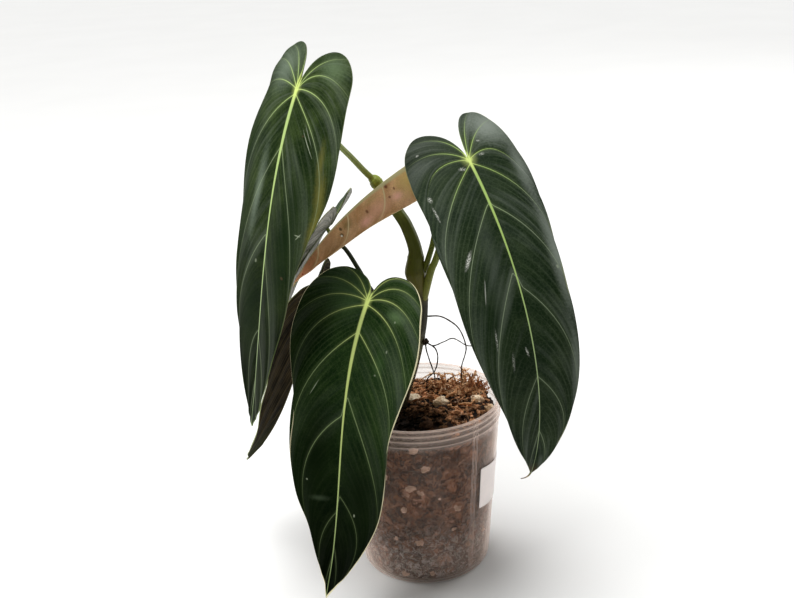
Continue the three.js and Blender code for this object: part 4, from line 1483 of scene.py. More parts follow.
@dataclass(frozen=True)
class Pot:
    """Clear nursery pot with a band of ridges under its lip."""

    height: float = 131.3
    base_radius: float = 48.0
    foot_height: float = 6.0
    foot_bulge: float = 0.3
    wall_top_radius: float = 58.6
    lip_radius: float = 60.2
    wall: float = 1.2
    floor: float = 1.6
    band_bottom: float = 117.2
    ridges: int = 3
    pitch: float = 4.4
    ridge_height: float = 0.9
    ridge_share: float = 0.54
    flare: float = 0.15
    hole_radius: float = 4.0
    hole_circle: float = 26.0
    holes: int = 6
    floor_edge: float = 40.0
    steps: int = 144
    finish: HazyPlasticFinish = HazyPlasticFinish()

    def wall_at(self, height: Numbers) -> Numbers:
        """Outer radius of the plain wall.

        Args:
            height: Heights over z = 0.

        Returns:
            One radius per height.
        """
        share = (height - self.foot_height) / (self.band_bottom - self.foot_height)
        low = self.base_radius + self.foot_bulge
        return low + (self.wall_top_radius - self.base_radius - self.foot_bulge) * share

    def profile(self) -> Numbers:
        """Outline of the wall from the floor's edge underneath, up, over the lip and down to the floor.

        Returns:
            Rows of radius and height.
        """
        base = self.base_radius
        foot = [
            (self.floor_edge, 0), (base - 4.5, 0), (base - 2.6, 0.25), (base - 1.6, 0.9), (base - 0.7, 1.9),
            (base - 0.2, 3.2), (base + 0.1, 4.6), (base + self.foot_bulge, self.foot_height),
        ]
        wall = [(self.wall_at(z), z) for z in np.linspace(12, self.band_bottom, 22)]
        band = []
        for ridge in range(self.ridges):
            low = self.band_bottom + ridge * self.pitch
            radius = self.wall_top_radius + self.flare * ridge
            for share in (0.06, 0.14, 0.22, 0.3, 0.38, 0.46, self.ridge_share, 0.75, 0.97):
                bulge = 0
                if share < self.ridge_share:
                    bulge = math.sin(math.pi * share / self.ridge_share) ** 0.8
                out = radius + self.flare * share + self.ridge_height * bulge
                band.append((out, low + share * self.pitch))
        lip = [
            (self.lip_radius - 0.5, self.height - 0.95), (self.lip_radius, self.height - 0.6),
            (self.lip_radius - 0.05, self.height - 0.2), (self.lip_radius - 0.3, self.height),
            (self.wall_top_radius - 0.2, self.height), (self.wall_top_radius - 0.6, self.height - 0.2),
            (self.wall_top_radius - self.wall, self.height - 1.2),
        ]
        falling = np.linspace(self.band_bottom, self.foot_height, 20)
        inside = [(self.wall_at(z) - self.wall, z) for z in falling]
        inner_foot = [
            (base - 0.3 - self.wall, 4.4), (base - 0.9 - self.wall, 3.2), (base - 3, 2.2),
            (base - 5, self.floor), (self.floor_edge, self.floor),
        ]
        return np.array([*foot, *wall, *band, *lip, *inside, *inner_foot])

    def build(self) -> None:
        """Pot with its wall and a floor with drain holes."""
        profile = self.profile()
        rows = len(profile) - 1
        haze = self.haze_along(profile)

        def shape(u: Numbers, v: Numbers) -> Shaped:
            """Turned points of the wall.

            Args:
                u: Way round.
                v: Way along the outline.

            Returns:
                The points with their haze.
            """
            at = np.rint(v * rows).astype(int)
            angle = 2 * math.pi * u
            radius, height = profile[at].T
            points = np.stack([radius * np.cos(angle), radius * np.sin(angle), height], 1)
            return Shaped(points, numbers={"haze": haze[at]})

        wall = grid_mesh(self.steps, rows, shape)
        plates = [self.floor_plate(number) for number in range(self.holes)]
        piece = joined("pot_wall", [wall, *plates], weld=0.01)
        dress(piece, ["pot"], [self.finish.build()])

    def haze_along(self, profile: Numbers) -> Numbers:
        """Milkiness along the profile, more where the plastic bends.

        Args:
            profile: Outline of the wall.

        Returns:
            Haze, 0 to 1, per point.
        """
        radius, height = profile.T
        outside = radius > self.wall_at(height) - 0.3
        over_wall = radius - self.wall_top_radius - self.flare
        crest = ease(over_wall, 0.55, 0.95) * (height > self.band_bottom) * outside
        lip = ease(height, self.height - 1.2, self.height - 0.3)
        band = 0.3 * ease(height, self.band_bottom - 1, self.band_bottom + 1)
        foot = 0.3 * ease(-height, -4, 0)
        return np.clip(0.8 * crest + 0.8 * lip + band + foot, 0, 1)

    def floor_plate(self, number: int) -> Mesh:
        """Sector of the floor round one drain hole, with both faces and the hole's wall.

        Args:
            number: Number of the hole.

        Returns:
            The mesh, in metres.
        """
        start = 2 * math.pi * number / self.holes
        arc_steps = self.steps // self.holes
        ray_steps = 10
        columns = arc_steps + 2 * ray_steps
        sector = 2 * math.pi / self.holes
        arc = [(self.floor_edge, start + sector * k / arc_steps) for k in range(arc_steps)]
        last = start + sector
        inward = [(self.floor_edge * (1 - k / ray_steps), last) for k in range(ray_steps)]
        outward = [(self.floor_edge * k / ray_steps, start) for k in range(ray_steps + 1)]
        border = np.array([(r * math.cos(a), r * math.sin(a)) for r, a in [*arc, *inward, *outward]])
        middle = start + math.pi / self.holes
        hole = self.hole_circle * np.array([math.cos(middle), math.sin(middle)])
        levels = [
            (1, 0), (0.5, 0), (0.04, 0), (0, 0.2), (0, self.floor - 0.2), (0.04, self.floor),
            (0.5, self.floor), (1, self.floor),
        ]

        def shape(u: Numbers, v: Numbers) -> Shaped:
            """Points between the sector's border and the hole, on both faces.

            Args:
                u: Way round the border.
                v: Way through the levels.

            Returns:
                The points with their haze.
            """
            edge = border[np.rint(u * columns).astype(int)]
            out, height = np.array(levels).T[:, np.rint(v * (len(levels) - 1)).astype(int)]
            rim = hole + self.hole_radius * unit(edge - hole)
            flat = rim + out[:, None] * (edge - rim)
            return Shaped(np.column_stack([flat, height]), numbers={"haze": 0.1 + 0 * out})

        return grid_mesh(columns, len(levels) - 1, shape, outward=False)


@dataclass(frozen=True)
class Label:
    """Bare sticker lying on the pot's wall. Angles run from the front toward the right."""

    pot: Pot
    start: float = 47.0
    end: float = 90.0
    bottom: float = 54.5
    height: float = 34.0
    fall: float = 6.0
    gap: float = 0.12
    thickness: float = 0.25
    corner: float = 0.04
    finish: PaperFinish = PaperFinish()

    def mesh(self, lift: float) -> Mesh:
        """One face of the sticker at a height over the wall, closed at its rim.

        Args:
            lift: Height over the wall.

        Returns:
            The mesh, in metres.
        """
        columns, rows = 48, 36

        def shape(u: Numbers, v: Numbers) -> Shaped:
            """Places on the wall, drawn in slightly at the rounded corners.

            Args:
                u: Way across.
                v: Way up.

            Returns:
                The points.
            """
            over_u = np.maximum(np.abs(u - 0.5) - (0.5 - self.corner), 0) / self.corner
            over_v = np.maximum(np.abs(v - 0.5) - (0.5 - self.corner), 0) / self.corner
            drawn_in = self.corner * (1 - 1 / np.maximum(np.hypot(over_u, over_v), 1))
            across = u - np.sign(u - 0.5) * over_u * drawn_in
            up = v - np.sign(v - 0.5) * over_v * drawn_in
            height = self.bottom + self.height * up - self.fall * across
            angle = np.radians(self.start + (self.end - self.start) * across)
            rim = (over_u >= 0.999) | (over_v >= 0.999)
            away = np.where(rim, self.gap + self.thickness / 2, lift)
            radius = self.pot.wall_at(height) + away + 0.05 * np.sin(9 * across + 5 * up)
            points = np.stack([radius * np.sin(angle), -radius * np.cos(angle), height], 1)
            return Shaped(points)

        return grid_mesh(columns, rows, shape, outward=False)

    def build(self) -> None:
        """Sticker with two faces."""
        faces = [self.mesh(self.gap), self.mesh(self.gap + self.thickness)]
        piece = joined("label_paper", faces, weld=0.01)
        dress(piece, ["label"], [self.finish.build()])


# The front lump is left for chips to lie on, and it is painted in shadow.
CHIP_COVERED_SHADED_LUMP = "front"


@dataclass(frozen=True)
class BarkMix:
    """Bark mix that fills the pot, with chips, crumbs, shreds and fibres on top."""

    pot: Pot
    level: float = 118.5
    side_top: float = 113.0
    gap: float = 0.45
    mound_height: float = 3.5
    hollow_depth: float = 2.5
    roughness: float = 2.2
    chips: int = 460
    chip_size: tuple[float, float, float] = (6.2, 3.0, 1.9)
    chip_spread: float = 52.0
    crumbs: int = 300
    crumb_spread: float = 54.0
    fibres: int = 220
    fibre_spread: float = 49.0
    shreds: int = 110
    shred_spread: float = 32.0
    shred_shift: float = 15.0
    shred_limit: float = 47.0
    lumps: tuple = ()
    mix: PackedBarkFinish = PackedBarkFinish()
    # Chips, fibres and shreds carry a painted shadow toward the front left, under the front leaf.
    chip: EarthFinish = EarthFinish(
        "bark chips", (0.008, 0.004, 0.003), (0.78, 0.38, 0.19), (0.95, 0.7, 0.5), scale=330,
        flecks=0.7, painted_shadow_strength=1.0, contrast=0.1,
    )
    fibre: EarthFinish = EarthFinish(
        "dry fibres", (0.3, 0.13, 0.055), (0.75, 0.45, 0.24), (0.8, 0.6, 0.36), scale=300,
        flecks=0.4, relief=0.1, painted_shadow_strength=0.96,
    )
    shred: EarthFinish = EarthFinish(
        "bark shreds", (0.2, 0.075, 0.03), (0.9, 0.5, 0.25), (0.95, 0.75, 0.5), scale=240,
        relief=0.3, painted_shadow_strength=0.96, contrast=0.11,
    )
    pale: EarthFinish = EarthFinish(
        "pale bits", (0.34, 0.22, 0.16), (0.7, 0.5, 0.4), (0.2, 0.12, 0.08), scale=420, flecks=0.6,
        relief=0.4,
    )
    pale_bits: tuple = (
        (-7, 114.6, 3.0), (0.6, 100.4, 4.6), (-10.4, 82.9, 4.4), (-3.5, 79.5, 3.4), (-17.9, 64.3, 2.6),
        (10.8, 73.8, 1.6), (-26.3, 38.3, 2.4), (23, 45, 1.8), (38.5, 26.3, 2.6), (-6.3, 36, 3.0),
        (3.3, 8.5, 2.2), (-21.5, 7.5, 3.0), (26, 62, 3.6), (-32, 90, 3.0), (60, 30, 3.2), (120, 70, 4.0),
        (165, 40, 3.6), (200, 95, 4.2), (245, 60, 3.4), (290, 30, 3.0), (310, 100, 3.8),
    )

    def surface(self, x: Numbers, y: Numbers) -> Numbers:
        """Height of the top: low at the front, mounded toward the back right.

        Args:
            x: Place to the right.
            y: Place to the back.

        Returns:
            Height per place.
        """
        mound = self.mound_height * np.exp(-((x - 24) ** 2 + (y - 22) ** 2) / 900)
        hollow = self.hollow_depth * np.exp(-((x + 20) ** 2 + (y + 34) ** 2) / 700)
        rough = np.sin(0.41 * x + 1.3) * np.cos(0.37 * y) + 0.7 * np.sin(0.83 * y - 0.29 * x)
        return self.level + mound - hollow + self.roughness / 2 * rough

    def room_at(self, height: Numbers) -> Numbers:
        """Radius left clear inside the wall."""
        return self.pot.wall_at(height) - self.pot.wall - self.gap

    def body(self) -> Mesh:
        """Filling with a rough side and top.

        Returns:
            The mesh, in metres.
        """
        outline = [(0.0, 1.9), (30.0, 1.9), (42.0, 1.9), (44.8, 3.6)]
        outline += [(float(self.room_at(z)), float(z)) for z in np.linspace(8, self.side_top, 64)]
        inward = np.linspace(1, 0, 40)[1:]
        rim = float(self.room_at(self.side_top))
        outline = np.array([*outline, *[(rim * share, 0.0) for share in inward]])
        rows, columns, top_rows = len(outline) - 1, 180, len(inward)

        def shape(u: Numbers, v: Numbers) -> Shaped:
            """Turned points, pushed in on the side and uneven on top.

            Args:
                u: Way round.
                v: Way along the outline.

            Returns:
                The points.
            """
            at = np.rint(v * rows).astype(int)
            angle = 2 * math.pi * u
            radius, height = outline[at].T
            x, y = radius * np.cos(angle), radius * np.sin(angle)
            on_top = at > rows - top_rows
            height = np.where(on_top, self.surface(x, y), height)
            points = np.stack([x, y, height], 1)
            closed = np.where((u >= 1)[:, None], points * (1, 0, 1), points)
            broad = np.array([noise.noise(Vector(point * 0.16)) for point in closed])
            rough = broad + 0.6 * np.array([noise.noise(Vector(point * 0.42)) for point in closed])
            push = np.where(on_top, 0, np.clip(0.55 + 1.3 * rough, 0, 1.9) * ease(height, 3, 9))
            scale = 1 - push / np.maximum(radius, 1)
            lift = np.where(on_top & (radius > 1), 1.3 * rough, 0)
            return Shaped(np.stack([x * scale, y * scale, height + lift], 1))

        return grid_mesh(columns, rows, shape)

    def pale_meshes(self) -> list[Mesh]:
        """Pale bits that show through the wall, by angle from the front, height and size.

        Returns:
            One mesh per bit.
        """
        meshes = []
        for number, (angle, height, size) in enumerate(self.pale_bits):
            turn = math.radians(angle)
            radius = float(self.room_at(height)) - 0.4 * size
            at = (radius * math.sin(turn), -radius * math.cos(turn), height)
            flat = 0.45 * size
            wide = abs(math.cos(turn))
            shape = (flat + (size - flat) * wide, flat + (size - flat) * (1 - wide), 0.85 * size)
            meshes.append(Lump(at, shape, seed=number + 31, unevenness=0.5, subdivisions=3).mesh())
        return meshes

    def spot(self, number: float, spread: float) -> tuple[float, float]:
        """Place of a loose piece inside the pot.

        Args:
            number: Number of the piece.
            spread: Radius of the scatter.

        Returns:
            Its x and y.
        """
        radius = spread * math.sqrt(scatter(number))
        angle = 2 * math.pi * scatter(number + 0.37)
        return radius * math.cos(angle), radius * math.sin(angle)

    def covers_lump(self, x: float, y: float, margin: float) -> bool:
        """Whether a loose piece here would hide a pumice lump.

        Args:
            x: Place to the right.
            y: Place to the back.
            margin: Width to keep clear.

        Returns:
            True if it would.
        """
        for name, at, size in self.lumps:
            across, along = (x - at[0]) / (size[0] + margin), (y - at[1] + 1.5) / (size[1] + margin)
            if name != CHIP_COVERED_SHADED_LUMP and math.hypot(across, along) < 1:
                return True
        return False

    def chip_mesh(self) -> Mesh:
        """Bark chips lying on the top.

        Returns:
            One mesh of all chips.
        """
        chips = bmesh.new()
        for number in range(self.chips):
            x, y = self.spot(number + 0.5, self.chip_spread)
            if self.covers_lump(x, y, 2.2):
                continue
            part = bmesh.new()
            bmesh.ops.create_cube(part, size=1.0)
            edges = part.edges[:]
            bmesh.ops.bevel(
                part, geom=edges, offset=0.13, segments=1, profile=0.5, affect="EDGES", material=-1,
            )
            big = 0.55 + 0.85 * scatter(number + 0.1) ** 2
            size = Vector(self.chip_size) * big
            shift = Vector((number * 1.7, number * 0.9, 0))
            pitch = 1.1 * scatter(number + 0.2) - 0.55
            roll = scatter(number + 0.3) - 0.5
            turn = Euler((pitch, roll, FULL_TURN * scatter(number + 0.4))).to_matrix()
            at = Vector((x, y, float(self.surface(x, y)) + 0.9 * big + 0.6 * scatter(number + 0.6)))
            for vertex in part.verts:
                uneven = 1 + 0.35 * noise.noise(vertex.co * 2.1 + shift)
                local = Vector(vertex.co[k] * size[k] * uneven for k in range(3))
                vertex.co = (turn @ local + at) * MM
            absorb(chips, finished(part, "chip"))
        return finished(chips, "chips")

    def crumb_meshes(self) -> list[Mesh]:
        """Small crumbs between the chips.

        Returns:
            One mesh per crumb.
        """
        meshes = []
        for number in range(self.crumbs):
            x, y = self.spot(number + 500.5, self.crumb_spread)
            size = 0.5 + 1.3 * scatter(number + 600.1) ** 2
            z = float(self.surface(x, y)) + 0.7 + 0.4 * size
            shape = (1.2 * size, size, 0.8 * size)
            meshes.append(Lump((x, y, z), shape, seed=number + 9, unevenness=0.6, subdivisions=1).mesh())
        return meshes

    def fibre_meshes(self) -> list[Mesh]:
        """Thin dry fibres lying about.

        Returns:
            One mesh per fibre.
        """
        meshes = []
        for number in range(self.fibres):
            x, y = self.spot(number + 900.5, self.fibre_spread)
            heading = FULL_TURN * scatter(number + 901.1)
            length = 4 + 9 * scatter(number + 902.2)
            bow = 3 * scatter(number + 903.3) - 1.5
            rise = 3.2 * scatter(number + 904.4) ** 2
            base = float(self.surface(x, y)) + 1.2
            path = []
            for share in (-0.5, -0.15, 0.2, 0.5):
                side = bow * (1 - 4 * share * share)
                px = x + length * share * math.cos(heading) - side * math.sin(heading)
                py = y + length * share * math.sin(heading) + side * math.cos(heading)
                path.append((px, py, base + rise * (share + 0.5)))
            meshes.append(Rod(path, [0.3, 0.16], sides=4, steps_per_point=3, cap_steps=1).mesh())
        return meshes

    def shred_meshes(self) -> list[Mesh]:
        """Curled bark shreds, most of them toward the back right.

        Returns:
            One mesh per shred.
        """
        meshes = []
        for number in range(self.shreds):
            x, y = self.spot(number + 700.5, self.shred_spread)
            x, y = x + self.shred_shift, y + self.shred_shift
            if math.hypot(x, y) > self.shred_limit or self.covers_lump(x, y, 1.0):
                continue
            heading = FULL_TURN * scatter(number + 701.1)
            reach = 4 + 9 * scatter(number + 702.2) ** 2
            curl = 0.1 + 1.0 * scatter(number + 703.3)
            rise = 0.5 + 1.4 * scatter(number + 704.4) ** 2
            base = float(self.surface(x, y)) + 1.6
            path = []
            for share in (0.0, 0.25, 0.5, 0.75, 1.0):
                turn = heading + curl * share
                far = reach * share
                lift = rise * math.sin(math.pi * min(share, 0.8))
                path.append((x + far * math.cos(turn), y + far * math.sin(turn), base + lift))
            thick = 0.5 + 0.9 * scatter(number + 705.5) ** 2

            def relief(u: Numbers, v: Numbers) -> Numbers:
                """Change of radius that flattens the shred and breaks its outline."""
                flat = -0.5 * np.sin(2 * math.pi * u) ** 2
                return thick * (flat + 0.22 * np.sin(11 * v + number) + 0.15 * np.sin(23 * v + 2 * number))

            radii = [0.6 * thick, thick, 0.9 * thick, 0.3 * thick]
            shred = Rod(path, radii, sides=6, steps_per_point=2, cap_steps=1, relief=relief)
            meshes.append(shred.mesh())
        return meshes

    def build(self) -> None:
        """Filling with everything loose on it."""
        body = self.body()
        loose = [self.chip_mesh(), *self.crumb_meshes()]
        fibres, shreds = self.fibre_meshes(), self.shred_meshes()
        pale = self.pale_meshes()
        groups = [[body], loose, fibres, pale, shreds]
        for number, meshes in enumerate(groups):
            for mesh in meshes:
                set_material_number(mesh, number)
        piece = joined("bark_mix", [mesh for meshes in groups for mesh in meshes])
        finishes = [self.mix, self.chip, self.fibre, self.pale, self.shred]
        dress(piece, ["substrate"], [finish.build() for finish in finishes])


@dataclass(frozen=True)
class Pumice:
    """Pumice lumps in the top of the mix."""

    lumps: tuple = (
        ("left", (-4, 14, 121), (6, 4.5, 4.5)), ("middle", (16, 6, 121), (5.7, 5, 4.9)),
        ("right", (43, 9, 120.5), (5.5, 4.5, 3.6)), ("edge", (51, -4, 119.5), (3.4, 4, 3)),
        ("front", (4, -27, 119.5), (5, 4, 3.4)), ("back", (-27, 32, 119.5), (5, 4.2, 3.4)),
    )
    finish: EarthFinish = EarthFinish(
        "pumice", (0.66, 0.4, 0.21), (0.98, 0.84, 0.63), (0.42, 0.22, 0.12), scale=420, flecks=0.45,
        contrast=0.11,
    )
    # Near-black pumice: painted shadow for the lump under the front leaf.
    shadowed_finish: EarthFinish = EarthFinish(
        "pumice in painted shadow", (0.02, 0.01, 0.006), (0.09, 0.05, 0.03), (0.14, 0.09, 0.055), scale=420,
        flecks=0.4,
    )

    def build(self) -> None:
        """Every lump as a piece of its own."""
        # The front lump takes the near-black finish, which is painted shadow.
        unshaded, shadowed = self.finish.build(), self.shadowed_finish.build()
        for number, (name, at, size) in enumerate(self.lumps):
            mesh = Lump(at, size, seed=number + 11, unevenness=0.26, pits=0.4).mesh()
            piece = joined(f"lump_{name}", [mesh])
            dress(piece, [f"pumice_{name}"], [shadowed if name == CHIP_COVERED_SHADED_LUMP else unshaded])


@dataclass(frozen=True)
class MossTuft:
    """Dry rusty moss: an uneven core with curling strands that carry small leaflets."""

    at: tuple[float, float, float] = (35, 25, 119)
    size: tuple[float, float, float] = (15, 9, 6)
    strands: int = 120
    leaflets: int = 10
    drift: float = 7.0
    finish: EarthFinish = EarthFinish(
        "dry moss", (0.3, 0.12, 0.05), (1.0, 0.68, 0.4), (1.0, 0.88, 0.65), scale=200, flecks=0.6,
        relief=0.2, contrast=0.08,
    )
    core: EarthFinish = EarthFinish(
        "moss core", (0.03, 0.012, 0.006), (0.42, 0.21, 0.1), (0.6, 0.38, 0.2), scale=300, flecks=0.4,
        relief=0.4, contrast=0.1,
    )

    def strand(self, number: int) -> tuple[list, float]:
        """Path of one strand and its thickness.

        Args:
            number: Number of the strand.

        Returns:
            The path and the radius.
        """
        angle = number * SPIRAL_TURN
        out = math.sqrt(scatter(number + 300.5))
        foot_x = self.at[0] - 0.5 * self.drift + self.size[0] * 0.95 * out * math.cos(angle)
        foot_y = self.at[1] + self.size[1] * 0.9 * out * math.sin(angle)
        tall = scatter(number + 340.5) ** 4
        height = 3 + 4 * (1 - out) + 19 * tall
        lean = 2 + 9 * scatter(number + 310.5)
        curl = 3 + 5 * scatter(number + 380.5)
        twist = FULL_TURN * scatter(number + 390.5)
        path = []
        for share in (0, 0.2, 0.4, 0.6, 0.8, 1.0):
            bend = curl * share**1.5
            drop = height * (share - 0.5 * share**3)
            x = foot_x + lean * share * math.cos(angle) + bend * math.cos(twist + 4.5 * share)
            y = foot_y + 0.7 * lean * share * math.sin(angle) + 0.7 * bend * math.sin(twist + 4.5 * share)
            z = self.at[2] - 1 + 1.5 * drop + 0.35 * bend * math.sin(twist + 6 * share)
            path.append((x - self.drift * share * tall, y, z))
        return path, 0.55 + 0.5 * tall

    def leaflet_mesh(self, path: list, number: int) -> Mesh:
        """Small pointed leaflets standing off one strand.

        Args:
            path: Path of the strand.
            number: Number of the strand.

        Returns:
            One mesh of the strand's leaflets.
        """
        leaflets = bmesh.new()
        places = smooth_at(path, np.linspace(0.6, len(path) - 1, self.leaflets))
        ways = unit(np.gradient(places, axis=0))
        for index, (place, way) in enumerate(zip(places, ways)):
            part = bmesh.new()
            bmesh.ops.create_cone(part, cap_ends=True, segments=4, radius1=0.5, radius2=0.0, depth=1.0)
            turn = SPIRAL_TURN * index + number
            side = unit(np.cross(way, [math.cos(turn), math.sin(turn), 0.3]))
            out = unit(side + 0.9 * way)
            across = unit(np.cross(out, way))
            thick = np.cross(across, out)
            length = 2.0 + 3.2 * scatter(number + index * 0.31)
            for vertex in part.verts:
                far = vertex.co.z + 0.5
                section = 2.5 * vertex.co.x * across + 0.6 * vertex.co.y * thick
                vertex.co = Vector(place + out * far * length + section - way * 0.5 * far * far) * MM
            absorb(leaflets, finished(part, "leaflet"))
        return finished(leaflets, "leaflets")

    def build(self) -> None:
        """Tuft with its strands and leaflets."""
        meshes = [Lump(self.at, self.size, seed=7, unevenness=0.35, pits=0.5).mesh()]
        set_material_number(meshes[0], 1)
        for number in range(self.strands):
            path, thickness = self.strand(number)
            radii = [thickness, 0.5 * thickness]
            meshes.append(Rod(path, radii, sides=5, steps_per_point=2, cap_steps=1).mesh())
            meshes.append(self.leaflet_mesh(path, number))
        piece = joined("moss_dry", meshes)
        dress(piece, ["moss_tuft"], [self.finish.build(), self.core.build()])


# Finishes of the leaves

GREY_BACK = UndersideFinish(
    "grey underside", dark=(0.1, 0.1, 0.075), light=(0.32, 0.32, 0.27), vein=(0.045, 0.055, 0.025),
    rib=(0.07, 0.085, 0.04), tip=(0.1, 0.095, 0.05),
)
# The dark leaf's underside: its brown is darkened to near black as painted shade.
DARK_BACK = UndersideFinish(
    "brown underside in painted shade", dark=(0.001, 0.001, 0.0005), light=(0.036, 0.026, 0.011), vein=(0.075, 0.06, 0.03),
    rib=(0.08, 0.075, 0.035), tip=(0.012, 0.02, 0.005), roughness=0.65, ior=1.05,
)
PLAIN_BACK = UndersideFinish(
    "green underside", dark=(0.06, 0.07, 0.035), light=(0.12, 0.12, 0.07), vein=(0.2, 0.21, 0.11),
    rib=(0.25, 0.28, 0.13), tip=(0.08, 0.08, 0.04),
)
PALE = (0.3, 0.34, 0.24)
CHALK = (0.42, 0.43, 0.38)
# Painted sheen in grey and in green, and painted shade in near black and in deeper black.
GREY_PAINTED_SHEEN = (0.17, 0.195, 0.165)
PAINTED_SHEEN = (0.15, 0.19, 0.14)
PAINTED_SHADE = (0.005, 0.013, 0.003)
DEEP_PAINTED_SHADE = (0.002, 0.005, 0.001)
BROWN = (0.05, 0.035, 0.018)
OLIVE = (0.1, 0.095, 0.02)

LEFT_VELVET = VelvetFinish(
    "velvet left", deep=(0.004, 0.012, 0.002), light=(0.028, 0.046, 0.011), tip_shade=0.25,
    vein=(0.26, 0.32, 0.19), midrib=(0.36, 0.48, 0.17), rib_width=0.75, rib_flare=1.8,
    rim=(0.12, 0.16, 0.06), ior=1.08,
    marks=(
        # The first two patches and the one at (-19, 70) are painted sheen; the four dark patches are painted
        # shade; the olive bands, scratches and spots are the leaf's own markings.
        tint_and_painted_light((-24, -14), (26, 28), PAINTED_SHEEN, 0.6),
        tint_and_painted_light((28, -18), (18, 14), (0.13, 0.19, 0.1), 0.5, 20),
        tint_and_painted_light((-8, 42), (4, 30), PAINTED_SHADE, 0.6, 6),
        tint_and_painted_light((25, 95), (20, 85), PAINTED_SHADE, 0.88, 8),
        tint_and_painted_light((-42, 62), (14, 80), PAINTED_SHADE, 0.9, -6),
        tint_and_painted_light((-12, 150), (20, 52), PAINTED_SHADE, 0.6, -4),
        tint_and_painted_light((-19, 70), (8, 46), PAINTED_SHEEN, 0.62, 4),
        tint_and_painted_light((42, 42), (4, 20), OLIVE, 0.75, -4),
        Mark((46.5, 62), (6.5, 20), OLIVE, -4, 0.85, 1.0),
        Mark((47, 84), (6.5, 24), OLIVE, 8, 0.9, 1.0),
        scratch((31.5, 90.4), (39, 90.4), 1.1, PALE, 0.5),
        scratch((33, 94), (39, 88), 1.0, PALE, 0.5),
        Mark((25.5, 120.4), (2.0, 1.3), BROWN, 20, 0.7),
        Mark((-10.5, 116.3), (1.5, 1.8), PALE, 0, 0.4),
        scratch((19.5, 22.4), (36, 42.4), 1.0, PALE, 0.6),
        scratch((20.5, 19), (33, 35), 0.8, PALE, 0.45),
        Mark((22.5, 28.4), (1.3, 0.8), BROWN, 0, 0.8),
        Mark((16.5, -27.6), (0.9, 0.9), BROWN),
    ),
)
RIGHT_VELVET = VelvetFinish(
    "velvet right", deep=(0.005, 0.013, 0.004), light=(0.018, 0.03, 0.012), tip_shade=0.8,
    vein=(0.26, 0.32, 0.2), vein_half_mm=0.4, midrib=(0.3, 0.42, 0.12), rib_width=0.45,
    rim=(0.22, 0.24, 0.13), painted_sheen=GREY_PAINTED_SHEEN, painted_sheen_strength=0.2, painted_slope_light=0.2,
    ior=1.12,
    marks=(
        # The grey patches (the first four and the faint one at (-12, 70)) are painted sheen and the dark
        # patch at (-22, 110) is painted shade; the chalk scuffs, scratches and spots are the leaf's own
        # marks.
        Mark((24, -24), (20, 25), GREY_PAINTED_SHEEN, 10, 0.95, 1.0),
        tint_and_painted_light((31, 16), (8, 36), GREY_PAINTED_SHEEN, 0.7, 3),
        tint_and_painted_light((29, 80), (7, 58), GREY_PAINTED_SHEEN, 0.8, 2),
        tint_and_painted_light((25, 150), (4.5, 36), GREY_PAINTED_SHEEN, 0.45, 6),
        tint_and_painted_light((-22, 110), (16, 50), PAINTED_SHADE, 0.6, 8),
        tint_and_painted_light((-12, 70), (9, 55), GREY_PAINTED_SHEEN, 0.12, 6),
        chalk((-7, 5.5), (3.4, 1.8), 20, 0.6),
        Mark((-4.5, 3.5), (1.2, 0.9), BROWN, 0, 0.5),
        chalk((-26, 69), (1.8, 9), 31, 1.0),
        chalk((-34.5, 18), (1.8, 3.4), -14, 0.85),
        chalk((-34.5, 30), (1.0, 9), -4, 0.7),
        scratch((-19.5, 82.4), (-24, 102.4), 1.0, CHALK, 0.45),
        chalk((-28.5, -21.6), (1.6, 1.2), 0, 0.9),
        chalk((-22, 124), (0.9, 9), 4, 0.5),
        chalk((-14, 140), (1.2, 8), 4, 0.3),
        chalk((-4.5, 135), (1.0, 4.2), -12, 0.7),
        chalk((9.5, -1), (2.4, 1.6), 0, 0.5),
        chalk((12, -12), (2.0, 1.4), 30, 0.5),
        Mark((27, 87.8), (1.0, 1.6), PALE, 0, 0.5),
        Mark((0, 222), (8, 9), BROWN, 0, 0.7, 1.0),
    ),
)
FRONT_VELVET = VelvetFinish(
    "velvet front", deep=(0.004, 0.013, 0.003), light=(0.016, 0.033, 0.008), tip_shade=0.06,
    vein_strength=0.75, painted_sheen_strength=0.15, painted_slope_light=0.25, sheen=0.005, midrib=(0.36, 0.43, 0.14),
    # Its pale margin is the leaf's own, made brighter and wider here with painted light along the edge.
    rib_flare=1.75, tip_veins=0.3, rim=(0.78, 0.72, 0.46), rim_mm=1.4, ior=1.04,
    marks=(
        # The three green patches at the top and the pale band at (-15, 139.8) are painted sheen, and the two
        # near-black patches are painted shade; the scratch and the pale dots are the leaf's own marks.
        tint_and_painted_light((-22, -2), (30, 26), (0.055, 0.1, 0.04), 0.6),
        tint_and_painted_light((33, 5), (12, 6), (0.1, 0.16, 0.07), 0.5, 10),
        tint_and_painted_light((28, 36), (9, 14), (0.035, 0.07, 0.02), 0.5),
        tint_and_painted_light((-22, 112), (30, 75), DEEP_PAINTED_SHADE, 0.95, 6),
        tint_and_painted_light((21, 130), (24, 60), DEEP_PAINTED_SHADE, 0.85),
        scratch((-24, 57.8), (-31.5, 71.8), 1.0, PALE, 0.5),
        tint_and_painted_light((-15, 139.8), (12, 3), (0.05, 0.07, 0.04), 0.4, -12),
        Mark((16.5, 142.7), (1.0, 1.4), PALE, 0, 0.5),
        Mark((-27, 129.8), (1.2, 0.9), PALE, 0, 0.4),
        Mark((34, 8), (1.0, 1.0), PALE, 0, 0.35),
        Mark((33, 27), (0.9, 1.3), PALE, 0, 0.35),
        Mark((26, 43.7), (1.1, 0.8), PALE, 0, 0.3),
    ),
)
HIDDEN_VELVET = VelvetFinish("velvet hidden", deep=(0.012, 0.026, 0.01), light=(0.03, 0.052, 0.022))
RED_SPOT = (0.13, 0.035, 0.025)
TAN_STAIN = (0.3, 0.17, 0.07)
